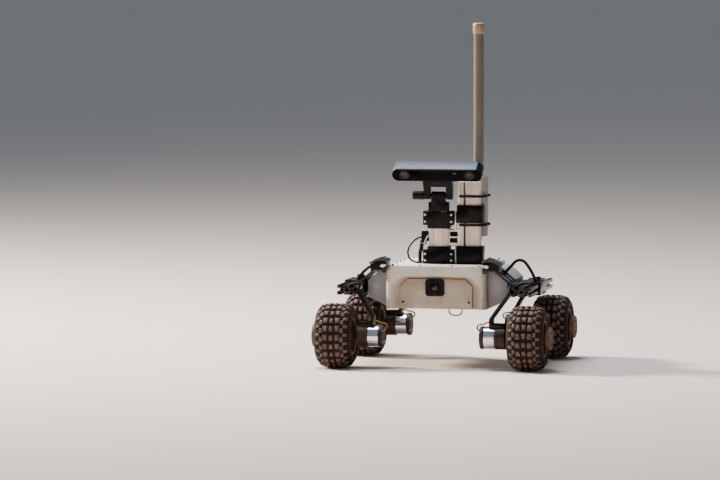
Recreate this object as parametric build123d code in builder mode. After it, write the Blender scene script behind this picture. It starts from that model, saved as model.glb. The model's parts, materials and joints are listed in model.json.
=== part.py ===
"""Small four-wheeled planetary rover prototype.

X is across (+X is the rover's left), Y is along (the rover faces -Y), Z is up,
and the origin is on the ground under the middle of the wheelbase.
Lengths are in millimetres.
"""
import os
from math import atan, cos, pi, radians, sin, tan

from build123d import *

os.makedirs("parts", exist_ok=True)

# Body, which sets the track of the wheels through the pods, pivots and bars
BODY_W = 204.0
BODY_FRONT = 118.0
BODY_REAR = 130.0
BODY_H = 84.0
BODY_SINK = 38.0        # underside below the middle of the bars
BODY_CORNER_R = 14.0
HOOD_SIDE = 6.5         # wall beside the arched recess
HOOD_TOP_WALL = 18.0
HOOD_R = 38.0
HOOD_DEPTH = 14.0
HOOD_FLOOR_W = 156.0    # the recess narrows to this at its floor
HOOD_FLOOR_R = 30.0
HOOD_DRAFT = 3.0        # slope of the recess's top
PLATE_T = 2.0
PLATE_EDGE = 3.0
HOLE_X = 160.0          # bolt pattern of the top plate
HOLE_Y = 200.0
HOLE_R = 2.5
POD_W = 40.0
POD_FRONT = 92.0
POD_REAR = 100.0
POD_DROP = 7.0          # pod's top below the body's top
PIVOT_W = 11.5
PIVOT_L = 44.0
PIVOT_RISE = 16.0       # top of the pivot above the middle of the bars
WING_T = 3.5
WING_FRONT = 130.0      # front edge, ahead of the body
WING_L = 80.0
WING_FLAT = 21.0        # flat part beyond the body's side
WING_FOOT_W = 10.0
WING_FOOT_T = 3.0
WING_TAB_W = 8.5        # stop at the inner front corner
WING_TAB_L = 9.0
WING_TAB_H = 11.0

# Front panel, camera and battery box, in the recesses
PANEL_HALF = 73.5
PANEL_GAP = 3.0         # below the recess's top
PANEL_T = 4.0
PANEL_RISE = 2.0
PANEL_CUT_W = 16.0      # its top corners are cut off
PANEL_CUT_H = 15.0
FOLD_H = 22.0
FOLD_OUT = 5.0
LENS_X = -2.0
LENS_RISE = 43.0
LENS_R = 9.0
LENS_L = 3.5
BEZEL_W = 38.0
BEZEL_H = 34.0
BEZEL_R = 6.0
BEZEL_T = 6.0
BATTERY_W = 132.0
BATTERY_GAP = 2.0       # below the recess's top
BATTERY_RISE = 5.0
BATTERY_OUT = 20.0
BATTERY_R = 8.0

# Wheels
WHEEL_R = 65.0          # to the lug tips
CARCASS_R = 60.5
WHEEL_W = 75.0
WHEEL_Y = 152.5
LUG_COUNT = 22
LUG_TIP_W = 6.8         # round the tyre, at the tip
LUG_ROW_W = 12.0
LUG_ROW_PITCH = 18.5
LUG_ROW_DROP = 1.3      # outer rows below the middle one
BEAD_R = 38.0           # seat of the tyre on the rim
RIM_WALL = 6.0
RIM_INSET = 3.5
WEB_T = 8.0
BOSS_R = 11.0
BOSS_INSET = 6.0
HUB_TUBE_R = 15.0
HUB_R = 23.0
HUB_T = 12.0
HUB_STANDOFF = 10.5     # hub disc beyond the tyre's side
WHEEL_OFFSET = 17.5     # wheel centre outside the bar's centre

# Motors, along X
MOTOR_R = 23.0
MOTOR_L = 52.0
FLANGE_L = 8.0
BAND_L = 22.0
BAND_R = 22.0
CORE_R = 20.0
GEARBOX_R = 23.5
MOTOR_GAP = 6.5         # from the gearbox to the tyre
SHAFT_R = 4.0
SHAFT_CLEAR = 4.0       # end of the shaft to the end of the hub's bore
RUNNING_FIT = 0.05

# Rocker bars and legs
BAR_W = 40.0
BAR_H = 20.0
BAR_RISE = 90.0         # above the axles
BAR_SETBACK = 17.5      # end of the bar inside the axle
SLOT_W = 5.6
SLOT_DEPTH = 3.8
LEG_T = 6.0
LEG_INSET = 11.0        # leg's inner face beyond the end flange
LEG_SEAT_L = 30.0
LEG_FOOT_L = 28.0
LEG_FOOT_T = 5.0
KNEE_RISE = 36.0        # lower bend above the axle
SADDLE_L = 80.0
SADDLE_WALL = 3.0
SEAT_GAP = 0.3

# Mast, above the top plate
COLUMN_W = 40.0
COLUMN_D = 20.0
COLUMN_Y = -30.0
CAMERA_X = -7.5
COLUMN_PITCH = 64.0
CAMERA_COLUMN_H = 106.0
RADIO_COLUMN_H = 165.0
CLAMP_D = 30.0
CLAMP_W = 62.0          # camera column's clamps
CLAMP_H = 28.0
COLLAR_W = 44.0         # narrower part of each of them
COLLAR_H = 7.0
RADIO_CLAMP_W = 52.0
RADIO_CLAMP_H = 36.0
RADIO_CLAMP_RISE = 82.5
LINK_D = 12.0
WINDOW_W = 15.5
WINDOW_H = 9.0
WINDOW_PITCH = 13.0
SPINE_W = 3.0           # flat bar between the two pairs of clamps
SPINE_D = 20.0

# Radio module and antenna
RADIO_W = 37.0
RADIO_D = 31.0
RADIO_H = 121.0
RADIO_R = 9.0
RADIO_RISE = 54.5       # bottom of the module above the top plate
RADIO_SHIFT = 10.5      # module's centre beyond its column's centre
CONNECTOR_R = 6.5
CONNECTOR_L = 9.0
NECK_R = 9.5
NECK_H = 18.0
ANTENNA_R = 10.4
ANTENNA_L = 256.5
FERRULE_H = 11.0
CAP_R = 12.2
CAP_H = 22.0

# Tilting stereo camera
TILT_Y = -40.0
TILT_RISE = 31.4        # pin above the camera column
TILT_DEG = 30.0         # looks down at rest
EYES_W = 182.0
EYES_H = 27.5
EYES_D = 33.0
EYES_SHIFT = 2.0        # middle of the camera beyond the middle of its column
FACE_T = 3.0
BLOCK_W = 40.0          # block on top of the column
KNUCKLE_W = 28.0
ARM_GAP = 2.5
ARM_T = 12.5
ARM_FRONT_H = 10.0      # straight parts of the arms above the pin
ARM_BACK_H = 14.0
SEAT_FRONT = 11.0       # camera's seat, from the middle of the camera
SEAT_BACK = 13.0
SEAT_T = 4.0
YOKE_R = 22.0           # opening between the arms, round the pin
PIN_R = 3.0
BARREL_R = 8.0
TILT_CLEAR = 5.4        # block to the arms' lower ends
KNOB_R = 9.0
KNOB_L = 23.5

# Flat sides that stand in for a large round, and for a small one
ROUND_SIDES = 32
SMALL_SIDES = 16

# Positions that follow from the sizes above
AXLE_Z = WHEEL_R
BAR_Z = AXLE_Z + BAR_RISE
BODY_Z0 = BAR_Z - BODY_SINK
BODY_Z1 = BODY_Z0 + BODY_H
DECK_Z = BODY_Z1 + PLATE_T
BODY_HALF = BODY_W / 2
BODY_MID = (BODY_REAR - BODY_FRONT) / 2
POD_OUT = BODY_HALF + POD_W
POD_TOP = BODY_Z1 - POD_DROP
BAR_IN = POD_OUT + PIVOT_W + SADDLE_WALL
BAR_X = BAR_IN + BAR_W / 2
BAR_HALF_L = WHEEL_Y - BAR_SETBACK
WHEEL_X = BAR_X + WHEEL_OFFSET
TYRE_IN = WHEEL_X - WHEEL_W / 2
HUB_OUT = WHEEL_W / 2 + HUB_STANDOFF
GEARBOX_X = TYRE_IN - MOTOR_GAP
MOTOR_X = GEARBOX_X - MOTOR_L
RADIO_X = CAMERA_X + COLUMN_PITCH
CAMERA_TOP = DECK_Z + CAMERA_COLUMN_H
TILT_Z = CAMERA_TOP + TILT_RISE

# corner name, side (+1 is left), end (-1 is the front)
CORNERS = (
    ("front_left", 1, -1),
    ("front_right", -1, -1),
    ("rear_left", 1, 1),
    ("rear_right", -1, 1),
)
# side name, sign of X
SIDES = (("left", 1), ("right", -1))


def save(shape, name):
    shape.label = name
    export_step(shape, f"parts/{name}.step")


def axle_plane(side, end):
    """Plane across an axle, with its normal pointing outward along X."""
    return Plane((0, end * WHEEL_Y, AXLE_Z), x_dir=(0, 1, 0), z_dir=(side, 0, 0))


def route_radii(points):
    """Arc at each corner of a route: 0.45 of the shorter run over tan(half the turn)."""
    radii = []
    for before, here, after in zip(points, points[1:], points[2:]):
        run_in = Vector(*here) - Vector(*before)
        run_out = Vector(*after) - Vector(*here)
        turn = radians(run_in.get_angle(run_out))
        radii.append(0.45 * min(run_in.length, run_out.length) / tan(turn / 2))
    return radii


def save_cord(name, diameter, points):
    """One plain round cord along a route of straight runs and tangent arcs."""
    radii = route_radii(points)
    first = Vector(*points[1]) - Vector(*points[0])
    with BuildPart() as cord:
        with BuildLine() as route:
            FilletPolyline(*points, radius=radii)
        with BuildSketch(Plane(origin=points[0], z_dir=tuple(first))):
            Circle(diameter / 2)
        sweep()
    length = sum(edge.length for edge in route.line.edges())
    ratio = cord.part.volume / (pi * diameter**2 / 4 * length)
    print(name, "length", round(length, 1), "volume ratio", round(ratio, 4))
    print("    radii", [round(radius, 1) for radius in radii])
    save(cord.part, name)


# Wheel forms, with the axle along X through the origin and +X outward
LUG_PITCH = 2 * pi / LUG_COUNT
# row, turn in lug pitches, drop of its tips
LUG_ROWS = ((-1, 0.0, LUG_ROW_DROP), (0, 0.5, 0.0), (1, 0.0, LUG_ROW_DROP))
crown_half = LUG_ROW_PITCH + LUG_ROW_W / 2
# share of the width left beyond the crown, radius of the carcass there
SHOULDER = ((0.0, CARCASS_R), (0.62, CARCASS_R - 3.6), (1.0, CARCASS_R - 12.5))


def flats(apothem, count, mode=Mode.ADD):
    """Regular outline given by the distance of its flats, one of them square to the sketch's first axis."""
    RegularPolygon(apothem, count, major_radius=False, rotation=180.0 / count, mode=mode)


def tapered_flats(start, radius_0, end, radius_1, count):
    """A taper of flat sides between two places along the axle, each with its own distance to the flats."""
    rims = []
    for x, apothem in ((start, radius_0), (end, radius_1)):
        corner_r = apothem / cos(pi / count)
        angles = [(i + 0.5) * 2 * pi / count for i in range(count)]
        rims.append([(x, corner_r * cos(angle), corner_r * sin(angle)) for angle in angles])
    near, far = rims
    walls = [Face(Wire.make_polygon((near[i - 1], near[i], far[i], far[i - 1]))) for i in range(count)]
    return Solid(Shell(walls + [Face(Wire.make_polygon(rim)) for rim in rims]))


def lug_outline(turn, tip_r):
    """Outline of one row of lugs, each standing on a flat of the carcass and narrower at its tip."""
    foot_r = CARCASS_R / cos(LUG_PITCH / 4)
    tip = atan(LUG_TIP_W / 2 / tip_r)
    corner_r = tip_r / cos(tip)
    foot = LUG_PITCH / 4
    points = []
    for lug in range(LUG_COUNT):
        middle = (lug + turn) * LUG_PITCH
        for aside, radius in ((-foot, foot_r), (-tip, corner_r), (tip, corner_r), (foot, foot_r)):
            points.append((radius * cos(middle + aside), radius * sin(middle + aside)))
    return points


with BuildPart() as tyre_form:
    with BuildSketch(Plane.YZ.offset(-crown_half)):
        flats(CARCASS_R, 2 * LUG_COUNT)
    extrude(amount=2 * crown_half)
    for side in (-1, 1):
        for (share_0, radius_0), (share_1, radius_1) in zip(SHOULDER, SHOULDER[1:]):
            start = side * (crown_half + share_0 * (WHEEL_W / 2 - crown_half))
            end = side * (crown_half + share_1 * (WHEEL_W / 2 - crown_half))
            add(tapered_flats(start, radius_0, end, radius_1, 2 * LUG_COUNT))
    for row, turn, drop in LUG_ROWS:
        with BuildSketch(Plane.YZ.offset(row * LUG_ROW_PITCH - LUG_ROW_W / 2)):
            Polygon(*lug_outline(turn, WHEEL_R - drop), align=None)
        extrude(amount=LUG_ROW_W)
    with BuildSketch(Plane.YZ.offset(-WHEEL_W / 2)):
        flats(BEAD_R, LUG_COUNT)
    extrude(amount=WHEEL_W, mode=Mode.SUBTRACT)

rim_half = WHEEL_W / 2 - RIM_INSET
bore_end = HUB_OUT - HUB_T
with BuildPart() as rim_form:
    with BuildSketch(Plane.YZ.offset(-rim_half)):
        flats(BEAD_R, LUG_COUNT)
        flats(BEAD_R - RIM_WALL, LUG_COUNT, Mode.SUBTRACT)
    extrude(amount=2 * rim_half)
    with BuildSketch(Plane.YZ.offset(-WEB_T / 2)):
        flats(BEAD_R - RIM_WALL, LUG_COUNT)
    extrude(amount=WEB_T)
    with BuildSketch(Plane.YZ.offset(BOSS_INSET - rim_half)):
        RegularPolygon(BOSS_R, SMALL_SIDES)
    extrude(amount=rim_half - BOSS_INSET)
    with BuildSketch(Plane.YZ):
        RegularPolygon(HUB_TUBE_R, SMALL_SIDES)
    extrude(amount=bore_end)
    with BuildSketch(Plane.YZ.offset(bore_end)):
        RegularPolygon(HUB_R, ROUND_SIDES)
    extrude(amount=HUB_T)
    with BuildSketch(Plane.YZ.offset(-rim_half)):
        Circle(SHAFT_R + RUNNING_FIT)
    extrude(amount=rim_half + bore_end, mode=Mode.SUBTRACT)

for corner, side, end in CORNERS:
    place = Location((side * WHEEL_X, end * WHEEL_Y, AXLE_Z), (0, 0, 0.0 if side > 0 else 180.0))
    with BuildPart() as tyre:
        with Locations(place):
            add(tyre_form.part)
    save(tyre.part, f"tyre_{corner}")
    with BuildPart() as rim:
        with Locations(place):
            add(rim_form.part)
    save(rim.part, f"rim_{corner}")

# Gearmotors, and the bright bands round them
shaft_end = WHEEL_X + bore_end - SHAFT_CLEAR
with BuildPart() as motors:
    for corner, side, end in CORNERS:
        axle = axle_plane(side, end)
        # radius, from X, to X
        steps = (
            (MOTOR_R, MOTOR_X, MOTOR_X + FLANGE_L),
            (CORE_R, MOTOR_X + FLANGE_L, MOTOR_X + FLANGE_L + BAND_L),
            (GEARBOX_R, MOTOR_X + FLANGE_L + BAND_L, GEARBOX_X),
            (SHAFT_R, GEARBOX_X, shaft_end),
        )
        for radius, x0, x1 in steps:
            with BuildSketch(axle.offset(x0)):
                if radius == SHAFT_R:
                    Circle(radius)
                else:
                    flats(radius, ROUND_SIDES)
            extrude(amount=x1 - x0)
save(motors.part, "motors")

with BuildPart() as motor_bands:
    for corner, side, end in CORNERS:
        with BuildSketch(axle_plane(side, end).offset(MOTOR_X + FLANGE_L)):
            flats(BAND_R, ROUND_SIDES)
            flats(CORE_R + 0.1, ROUND_SIDES, Mode.SUBTRACT)
        extrude(amount=BAND_L)
save(motor_bands.part, "motor_bands")

# Bent legs, from the end of each bar down to a foot on the gearbox
leg_x = MOTOR_X + FLANGE_L + LEG_INSET
bar_top = BAR_Z + BAR_H / 2
knee_z = AXLE_Z + KNEE_RISE
foot_low = AXLE_Z + LEG_FOOT_T
foot_top = AXLE_Z + GEARBOX_R + LEG_FOOT_T
foot_end = GEARBOX_X - 2.0
# the slope drops half the plate's thickness more on its outer face
leg_section = (
    (BAR_IN, BAR_Z - LEG_T / 2), (BAR_IN, bar_top), (BAR_IN - LEG_T, bar_top), (BAR_IN - LEG_T, BAR_Z),
    (leg_x, knee_z + LEG_T / 2), (leg_x, foot_low), (foot_end, foot_low), (foot_end, foot_top),
    (leg_x + LEG_T, foot_top), (leg_x + LEG_T, knee_z),
)
leg_near = WHEEL_Y - LEG_FOOT_L / 2
leg_far = WHEEL_Y + LEG_FOOT_L / 2
leg_profile = (
    (BAR_HALF_L - LEG_SEAT_L, bar_top), (BAR_HALF_L, bar_top), (leg_far, knee_z),
    (leg_far, AXLE_Z), (leg_near, AXLE_Z), (leg_near, knee_z), (BAR_HALF_L - LEG_SEAT_L, BAR_Z - LEG_T / 2),
)

leg_solids = []
for corner, side, end in CORNERS:
    with BuildPart() as leg:
        with BuildSketch(Plane.XZ.offset(-end * WHEEL_Y)):
            Polygon(*[(side * x, z) for x, z in leg_section], align=None)
        extrude(amount=WHEEL_Y / 2, both=True)
        with BuildSketch(Plane.YZ):
            Polygon(*[(end * y, z) for y, z in leg_profile], align=None)
        extrude(amount=side * 2 * BAR_IN, mode=Mode.INTERSECT)
        with BuildSketch(axle_plane(side, end).offset(leg_x - LEG_T)):
            Circle(GEARBOX_R + SEAT_GAP)
        extrude(amount=foot_end - leg_x + 2 * LEG_T, mode=Mode.SUBTRACT)
    leg_solids.append(leg.part)
with BuildPart() as legs:
    for solid in leg_solids:
        add(solid)
save(legs.part, "legs")


def grooved_section(width, depth, x, y):
    """Extrusion section with two grooves on each wide side and one on each narrow side."""
    with Locations((x, y)):
        Rectangle(width, depth)
        for along in (-width / 4, width / 4):
            for across in (-1, 1):
                with Locations((along, across * (depth - SLOT_DEPTH) / 2)):
                    Rectangle(SLOT_W, SLOT_DEPTH, mode=Mode.SUBTRACT)
        for across in (-1, 1):
            with Locations((across * (width - SLOT_DEPTH) / 2, 0)):
                Rectangle(SLOT_DEPTH, SLOT_W, mode=Mode.SUBTRACT)


for name, side in SIDES:
    with BuildPart() as bar:
        with BuildSketch(Plane.XZ):
            grooved_section(BAR_W, BAR_H, side * BAR_X, BAR_Z)
        extrude(amount=BAR_HALF_L, both=True)
    save(bar.part, f"rocker_bar_{name}")

saddle_in = BAR_IN - SADDLE_WALL
with BuildPart() as saddles:
    for name, side in SIDES:
        with BuildSketch(Plane.XZ):
            with Locations((side * BAR_X, BAR_Z)):
                Rectangle(BAR_W + 2 * SADDLE_WALL, BAR_H + 2 * SADDLE_WALL)
                Rectangle(BAR_W, BAR_H, mode=Mode.SUBTRACT)
        extrude(amount=SADDLE_L / 2, both=True)
save(saddles.part, "saddles")

saddle_top = BAR_Z + BAR_H / 2 + SADDLE_WALL
pivot_top = BAR_Z + PIVOT_RISE
pivot_low = BAR_Z - BAR_H / 2 - 2.0
pivot_section = (
    (POD_OUT, pivot_low), (saddle_in, pivot_low), (saddle_in, saddle_top - 1.0),
    (POD_OUT + 0.4 * PIVOT_W, pivot_top), (POD_OUT, pivot_top),
)
with BuildPart() as pivots:
    for name, side in SIDES:
        with BuildSketch(Plane.XZ):
            Polygon(*[(side * x, z) for x, z in pivot_section], align=None)
        extrude(amount=PIVOT_L / 2, both=True)
save(pivots.part, "pivots")

# shares of the pod's width and of its height above the body's underside
POD_SECTION = ((0.0, 1.0), (0.375, 1.0), (1.0, 0.7), (1.0, 0.3), (0.175, 0.085), (0.0, 0.04))
pod_h = POD_TOP - BODY_Z0
for name, side in SIDES:
    with BuildPart() as pod:
        with BuildSketch(Plane.XZ.offset(-POD_REAR)):
            for_side = [(side * (BODY_HALF + POD_W * out), BODY_Z0 + pod_h * up) for out, up in POD_SECTION]
            Polygon(*for_side, align=None)
        extrude(amount=POD_FRONT + POD_REAR)
    save(pod.part, f"side_pod_{name}")

# Wings on the pods, bent down to a foot on each bar, with a stop at the inner front corner
wing_in = BODY_HALF + 0.5
wing_top = POD_TOP + WING_T
wing_bend = BODY_HALF + WING_FLAT
wing_foot = BAR_IN + 0.5
wing_section = (
    (wing_in, POD_TOP), (wing_bend - 1.5, POD_TOP), (wing_foot, bar_top), (wing_foot + WING_FOOT_W, bar_top),
    (wing_foot + WING_FOOT_W, bar_top + WING_FOOT_T), (wing_foot + 1.5, bar_top + WING_FOOT_T),
    (wing_bend, wing_top), (wing_in, wing_top),
)
slot_from = wing_bend + 4.0
slot_to = wing_foot - 3.0
tab_in = BODY_HALF - WING_TAB_W / 2
for name, side in SIDES:
    with BuildPart() as wing:
        with BuildSketch(Plane.XZ.offset(WING_FRONT - WING_L)):
            Polygon(*[(side * x, z) for x, z in wing_section], align=None)
        extrude(amount=WING_L)
        with BuildSketch(Plane.XY.offset(bar_top)):
            with Locations((side * (slot_from + slot_to) / 2, WING_L / 2 - WING_FRONT)):
                with GridLocations(1.0, WING_L / 2, 1, 2):
                    Rectangle(slot_to - slot_from, WING_L * 0.36)
        extrude(amount=POD_TOP - bar_top, mode=Mode.SUBTRACT)
        with BuildSketch(Plane.XZ.offset(WING_FRONT - WING_TAB_L)):
            with Locations((side * (tab_in + WING_TAB_W / 2), wing_top + WING_T - WING_TAB_H / 2)):
                Rectangle(WING_TAB_W, WING_TAB_H)
        extrude(amount=WING_TAB_L)
    save(wing.part, f"wing_{name}")

# Body shell with an arched hood recess at each end, its sides coved
hood_w = BODY_W - 2 * HOOD_SIDE
hood_h = 1.5 * BODY_H   # runs out through the underside
hood_top = BODY_Z1 - HOOD_TOP_WALL
with BuildPart() as body_shell:
    with BuildSketch(Plane.XY.offset(BODY_Z0)):
        with Locations((0, BODY_MID)):
            RectangleRounded(BODY_W, BODY_FRONT + BODY_REAR, BODY_CORNER_R)
    extrude(amount=BODY_H)
    for reach, inward in ((BODY_FRONT, -1), (-BODY_REAR, 1)):
        with BuildSketch(Plane.XZ.offset(reach)):
            with Locations((0, hood_top - hood_h / 2)):
                RectangleRounded(hood_w, hood_h, HOOD_R)
        with BuildSketch(Plane.XZ.offset(reach + inward * HOOD_DEPTH)):
            with Locations((0, hood_top - HOOD_DRAFT - hood_h / 2)):
                RectangleRounded(HOOD_FLOOR_W, hood_h, HOOD_FLOOR_R)
        loft(ruled=True, mode=Mode.SUBTRACT)
save(body_shell.part, "body_shell")

# Folded front panel in the recess, with its top corners cut off
floor_y = BODY_FRONT - HOOD_DEPTH
panel_y = floor_y + PANEL_T
panel_z = BODY_Z0 + PANEL_RISE
panel_top = hood_top - HOOD_DRAFT - PANEL_GAP
with BuildPart() as front_panel:
    with BuildSketch(Plane.YZ):
        Polygon(
            (-floor_y, panel_z), (-panel_y - FOLD_OUT, panel_z), (-panel_y, panel_z + FOLD_H),
            (-panel_y, panel_top), (-floor_y, panel_top), align=None,
        )
    extrude(amount=PANEL_HALF, both=True)
    with BuildSketch(Plane.XZ.offset(floor_y)):
        for side in (-1, 1):
            Polygon(
                (side * PANEL_HALF, panel_top - PANEL_CUT_H), (side * PANEL_HALF, panel_top),
                (side * (PANEL_HALF - PANEL_CUT_W), panel_top), align=None,
            )
    extrude(amount=PANEL_T + FOLD_OUT, mode=Mode.SUBTRACT)
save(front_panel.part, "front_panel")

with BuildPart() as front_camera:
    with BuildSketch(Plane.XZ.offset(panel_y)):
        with Locations((LENS_X, BODY_Z0 + LENS_RISE)):
            RectangleRounded(BEZEL_W, BEZEL_H, BEZEL_R)
    extrude(amount=BEZEL_T)
save(front_camera.part, "front_camera")

with BuildPart() as front_lens:
    with BuildSketch(Plane.XZ.offset(panel_y + BEZEL_T)):
        with Locations((LENS_X, BODY_Z0 + LENS_RISE)):
            RegularPolygon(LENS_R, ROUND_SIDES)
    extrude(amount=LENS_L)
save(front_lens.part, "front_lens")

battery_low = BODY_Z0 + BATTERY_RISE
battery_top = hood_top - HOOD_DRAFT - BATTERY_GAP
with BuildPart() as battery_box:
    with BuildSketch(Plane.XZ.offset(-BODY_REAR + HOOD_DEPTH)):
        with Locations((0, (battery_low + battery_top) / 2)):
            RectangleRounded(BATTERY_W, battery_top - battery_low, BATTERY_R)
    extrude(amount=-HOOD_DEPTH - BATTERY_OUT)
save(battery_box.part, "battery_box")

deck_w = BODY_W - 2 * PLATE_EDGE
deck_l = BODY_FRONT + BODY_REAR - 2 * PLATE_EDGE
with BuildPart() as top_plate:
    with BuildSketch(Plane.XY.offset(BODY_Z1)):
        with Locations((0, BODY_MID)):
            RectangleRounded(deck_w, deck_l, BODY_CORNER_R - PLATE_EDGE)
            with GridLocations(HOLE_X, HOLE_Y, 2, 2):
                Circle(HOLE_R, mode=Mode.SUBTRACT)
    extrude(amount=PLATE_T)
save(top_plate.part, "top_plate")

# Mast columns: name, centre X, height
COLUMNS = (("camera", CAMERA_X, CAMERA_COLUMN_H), ("radio", RADIO_X, RADIO_COLUMN_H))
for name, x, height in COLUMNS:
    with BuildPart() as column:
        with BuildSketch(Plane.XY.offset(DECK_Z)):
            grooved_section(COLUMN_W, COLUMN_D, x, COLUMN_Y)
        extrude(amount=height)
    save(column.part, f"column_{name}")


# Clamp rings, each closed on its column's outline: centre X, width, from Z, to Z
BASE_RINGS = (
    (CAMERA_X, CLAMP_W, DECK_Z, DECK_Z + CLAMP_H),
    (CAMERA_X, COLLAR_W, DECK_Z + CLAMP_H, DECK_Z + CLAMP_H + COLLAR_H),
    (RADIO_X, RADIO_CLAMP_W, DECK_Z, DECK_Z + RADIO_CLAMP_H),
)
radio_clamp_z = DECK_Z + RADIO_CLAMP_RISE
TOP_RINGS = (
    (CAMERA_X, CLAMP_W, CAMERA_TOP - CLAMP_H, CAMERA_TOP),
    (CAMERA_X, COLLAR_W, CAMERA_TOP - CLAMP_H - COLLAR_H, CAMERA_TOP - CLAMP_H),
    (RADIO_X, RADIO_CLAMP_W, radio_clamp_z, radio_clamp_z + RADIO_CLAMP_H),
)
for name, rings in (("clamps_base", BASE_RINGS), ("clamps_top", TOP_RINGS)):
    with BuildPart() as clamps:
        for x, width, z0, z1 in rings:
            with BuildSketch(Plane.XY.offset(z0)):
                with Locations((x, COLUMN_Y)):
                    Rectangle(width, CLAMP_D)
                    Rectangle(COLUMN_W, COLUMN_D, mode=Mode.SUBTRACT)
            extrude(amount=z1 - z0)
    save(clamps.part, name)

# Ladder bracket between the columns, and the flat bar that runs on from it between the clamps
link_0 = CAMERA_X + COLUMN_W / 2
link_1 = RADIO_X - COLUMN_W / 2
link_z = DECK_Z + RADIO_CLAMP_H + SEAT_GAP
link_top = CAMERA_TOP - CLAMP_H - COLLAR_H - 1.0
link_back = -COLUMN_Y - LINK_D / 2
spine_x = (CAMERA_X + CLAMP_W / 2 + RADIO_X - RADIO_CLAMP_W / 2) / 2
with BuildPart() as mast_link:
    with BuildSketch(Plane.XZ.offset(link_back)):
        with Locations(((link_0 + link_1) / 2, (link_z + link_top) / 2)):
            Rectangle(link_1 - link_0, link_top - link_z)
        with Locations((link_0 + 2.5 + WINDOW_W / 2, (link_z + link_top) / 2 + 0.5)):
            with GridLocations(1.0, WINDOW_PITCH, 1, 2):
                Rectangle(WINDOW_W, WINDOW_H, mode=Mode.SUBTRACT)
    extrude(amount=LINK_D)
    for z0, z1 in ((DECK_Z, link_z), (link_top, CAMERA_TOP)):
        with BuildSketch(Plane.XY.offset(z0)):
            with Locations((spine_x, COLUMN_Y)):
                Rectangle(SPINE_W, SPINE_D)
        extrude(amount=z1 - z0)
save(mast_link.part, "mast_link")

# Neck with the knuckle that the camera head tilts on
block_h = TILT_RISE - BARREL_R - TILT_CLEAR
knuckle_z = CAMERA_TOP + block_h / 2
with BuildPart() as neck:
    with BuildSketch(Plane.XY.offset(CAMERA_TOP)):
        with Locations((CAMERA_X, (TILT_Y + COLUMN_Y) / 2)):
            Rectangle(BLOCK_W, COLUMN_D)
    extrude(amount=block_h)
    with BuildSketch(Plane.YZ.offset(CAMERA_X - KNUCKLE_W / 2)):
        with Locations((TILT_Y, TILT_Z)):
            Circle(BARREL_R)
        with Locations((TILT_Y, (TILT_Z + knuckle_z) / 2)):
            Rectangle(2 * BARREL_R, TILT_Z - knuckle_z)
        with Locations((TILT_Y, TILT_Z)):
            Circle(PIN_R + RUNNING_FIT, mode=Mode.SUBTRACT)
    extrude(amount=KNUCKLE_W)
save(neck.part, "neck")

# Camera head, which looks down by TILT_DEG at rest
tilt = radians(TILT_DEG)
FORWARD = Vector(0, -cos(tilt), -sin(tilt))
UPWARD = Vector(0, -sin(tilt), cos(tilt))
LOW_AHEAD = 26.0        # lower front edge of the camera, from the pin
LOW_RISE = 29.6
front_low = Vector(CAMERA_X + EYES_SHIFT, TILT_Y - LOW_AHEAD, TILT_Z + LOW_RISE)
eyes_base = front_low - FORWARD * (EYES_D / 2)
eyes_back = eyes_base + UPWARD * (EYES_H / 2) - FORWARD * (EYES_D / 2)
eyes_plane = Plane(eyes_back, x_dir=(1, 0, 0), z_dir=tuple(FORWARD))
with BuildPart() as stereo_housing:
    with BuildSketch(eyes_plane):
        RectangleRounded(EYES_W, EYES_H, EYES_H / 2 - 0.5)
    extrude(amount=EYES_D - FACE_T)
save(stereo_housing.part, "stereo_housing")
with BuildPart() as stereo_face:
    with BuildSketch(eyes_plane.offset(EYES_D - FACE_T)):
        RectangleRounded(EYES_W, EYES_H, EYES_H / 2 - 0.5)
    extrude(amount=FACE_T)
save(stereo_face.part, "stereo_face")

arm_in = KNUCKLE_W / 2 + ARM_GAP
arm_out = arm_in + ARM_T
seat_in = eyes_base - FORWARD * SEAT_BACK
seat_out = eyes_base + FORWARD * SEAT_FRONT
seat_in_low = seat_in - UPWARD * SEAT_T
seat_out_low = seat_out - UPWARD * SEAT_T
with BuildPart() as tilt_cradle:
    with BuildSketch(Plane.YZ.offset(CAMERA_X - arm_out)):
        Polygon(
            (seat_in.Y, seat_in.Z), (seat_out.Y, seat_out.Z), (seat_out_low.Y, seat_out_low.Z),
            (TILT_Y - BARREL_R, TILT_Z + ARM_FRONT_H), (TILT_Y - BARREL_R, TILT_Z),
            (TILT_Y + BARREL_R, TILT_Z), (TILT_Y + BARREL_R, TILT_Z + ARM_BACK_H),
            (seat_in_low.Y, seat_in_low.Z), align=None,
        )
        with Locations((TILT_Y, TILT_Z)):
            Circle(BARREL_R)
            Circle(PIN_R, mode=Mode.SUBTRACT)
    extrude(amount=2 * arm_out)
    with BuildSketch(Plane.YZ.offset(CAMERA_X - arm_in)):
        with Locations((TILT_Y, TILT_Z)):
            RegularPolygon(YOKE_R, SMALL_SIDES)
        with Locations((TILT_Y, TILT_Z - YOKE_R)):
            Rectangle(3 * YOKE_R, 2 * YOKE_R)
    extrude(amount=2 * arm_in, mode=Mode.SUBTRACT)
save(tilt_cradle.part, "tilt_cradle")

with BuildPart() as tilt_pin:
    with BuildSketch(Plane.YZ.offset(CAMERA_X - arm_out)):
        with Locations((TILT_Y, TILT_Z)):
            Circle(PIN_R)
    extrude(amount=2 * arm_out)
    with BuildSketch(Plane.YZ.offset(CAMERA_X - arm_out)):
        with Locations((TILT_Y, TILT_Z)):
            RegularPolygon(KNOB_R, SMALL_SIDES)
    extrude(amount=-KNOB_L)
save(tilt_pin.part, "tilt_pin")

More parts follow.
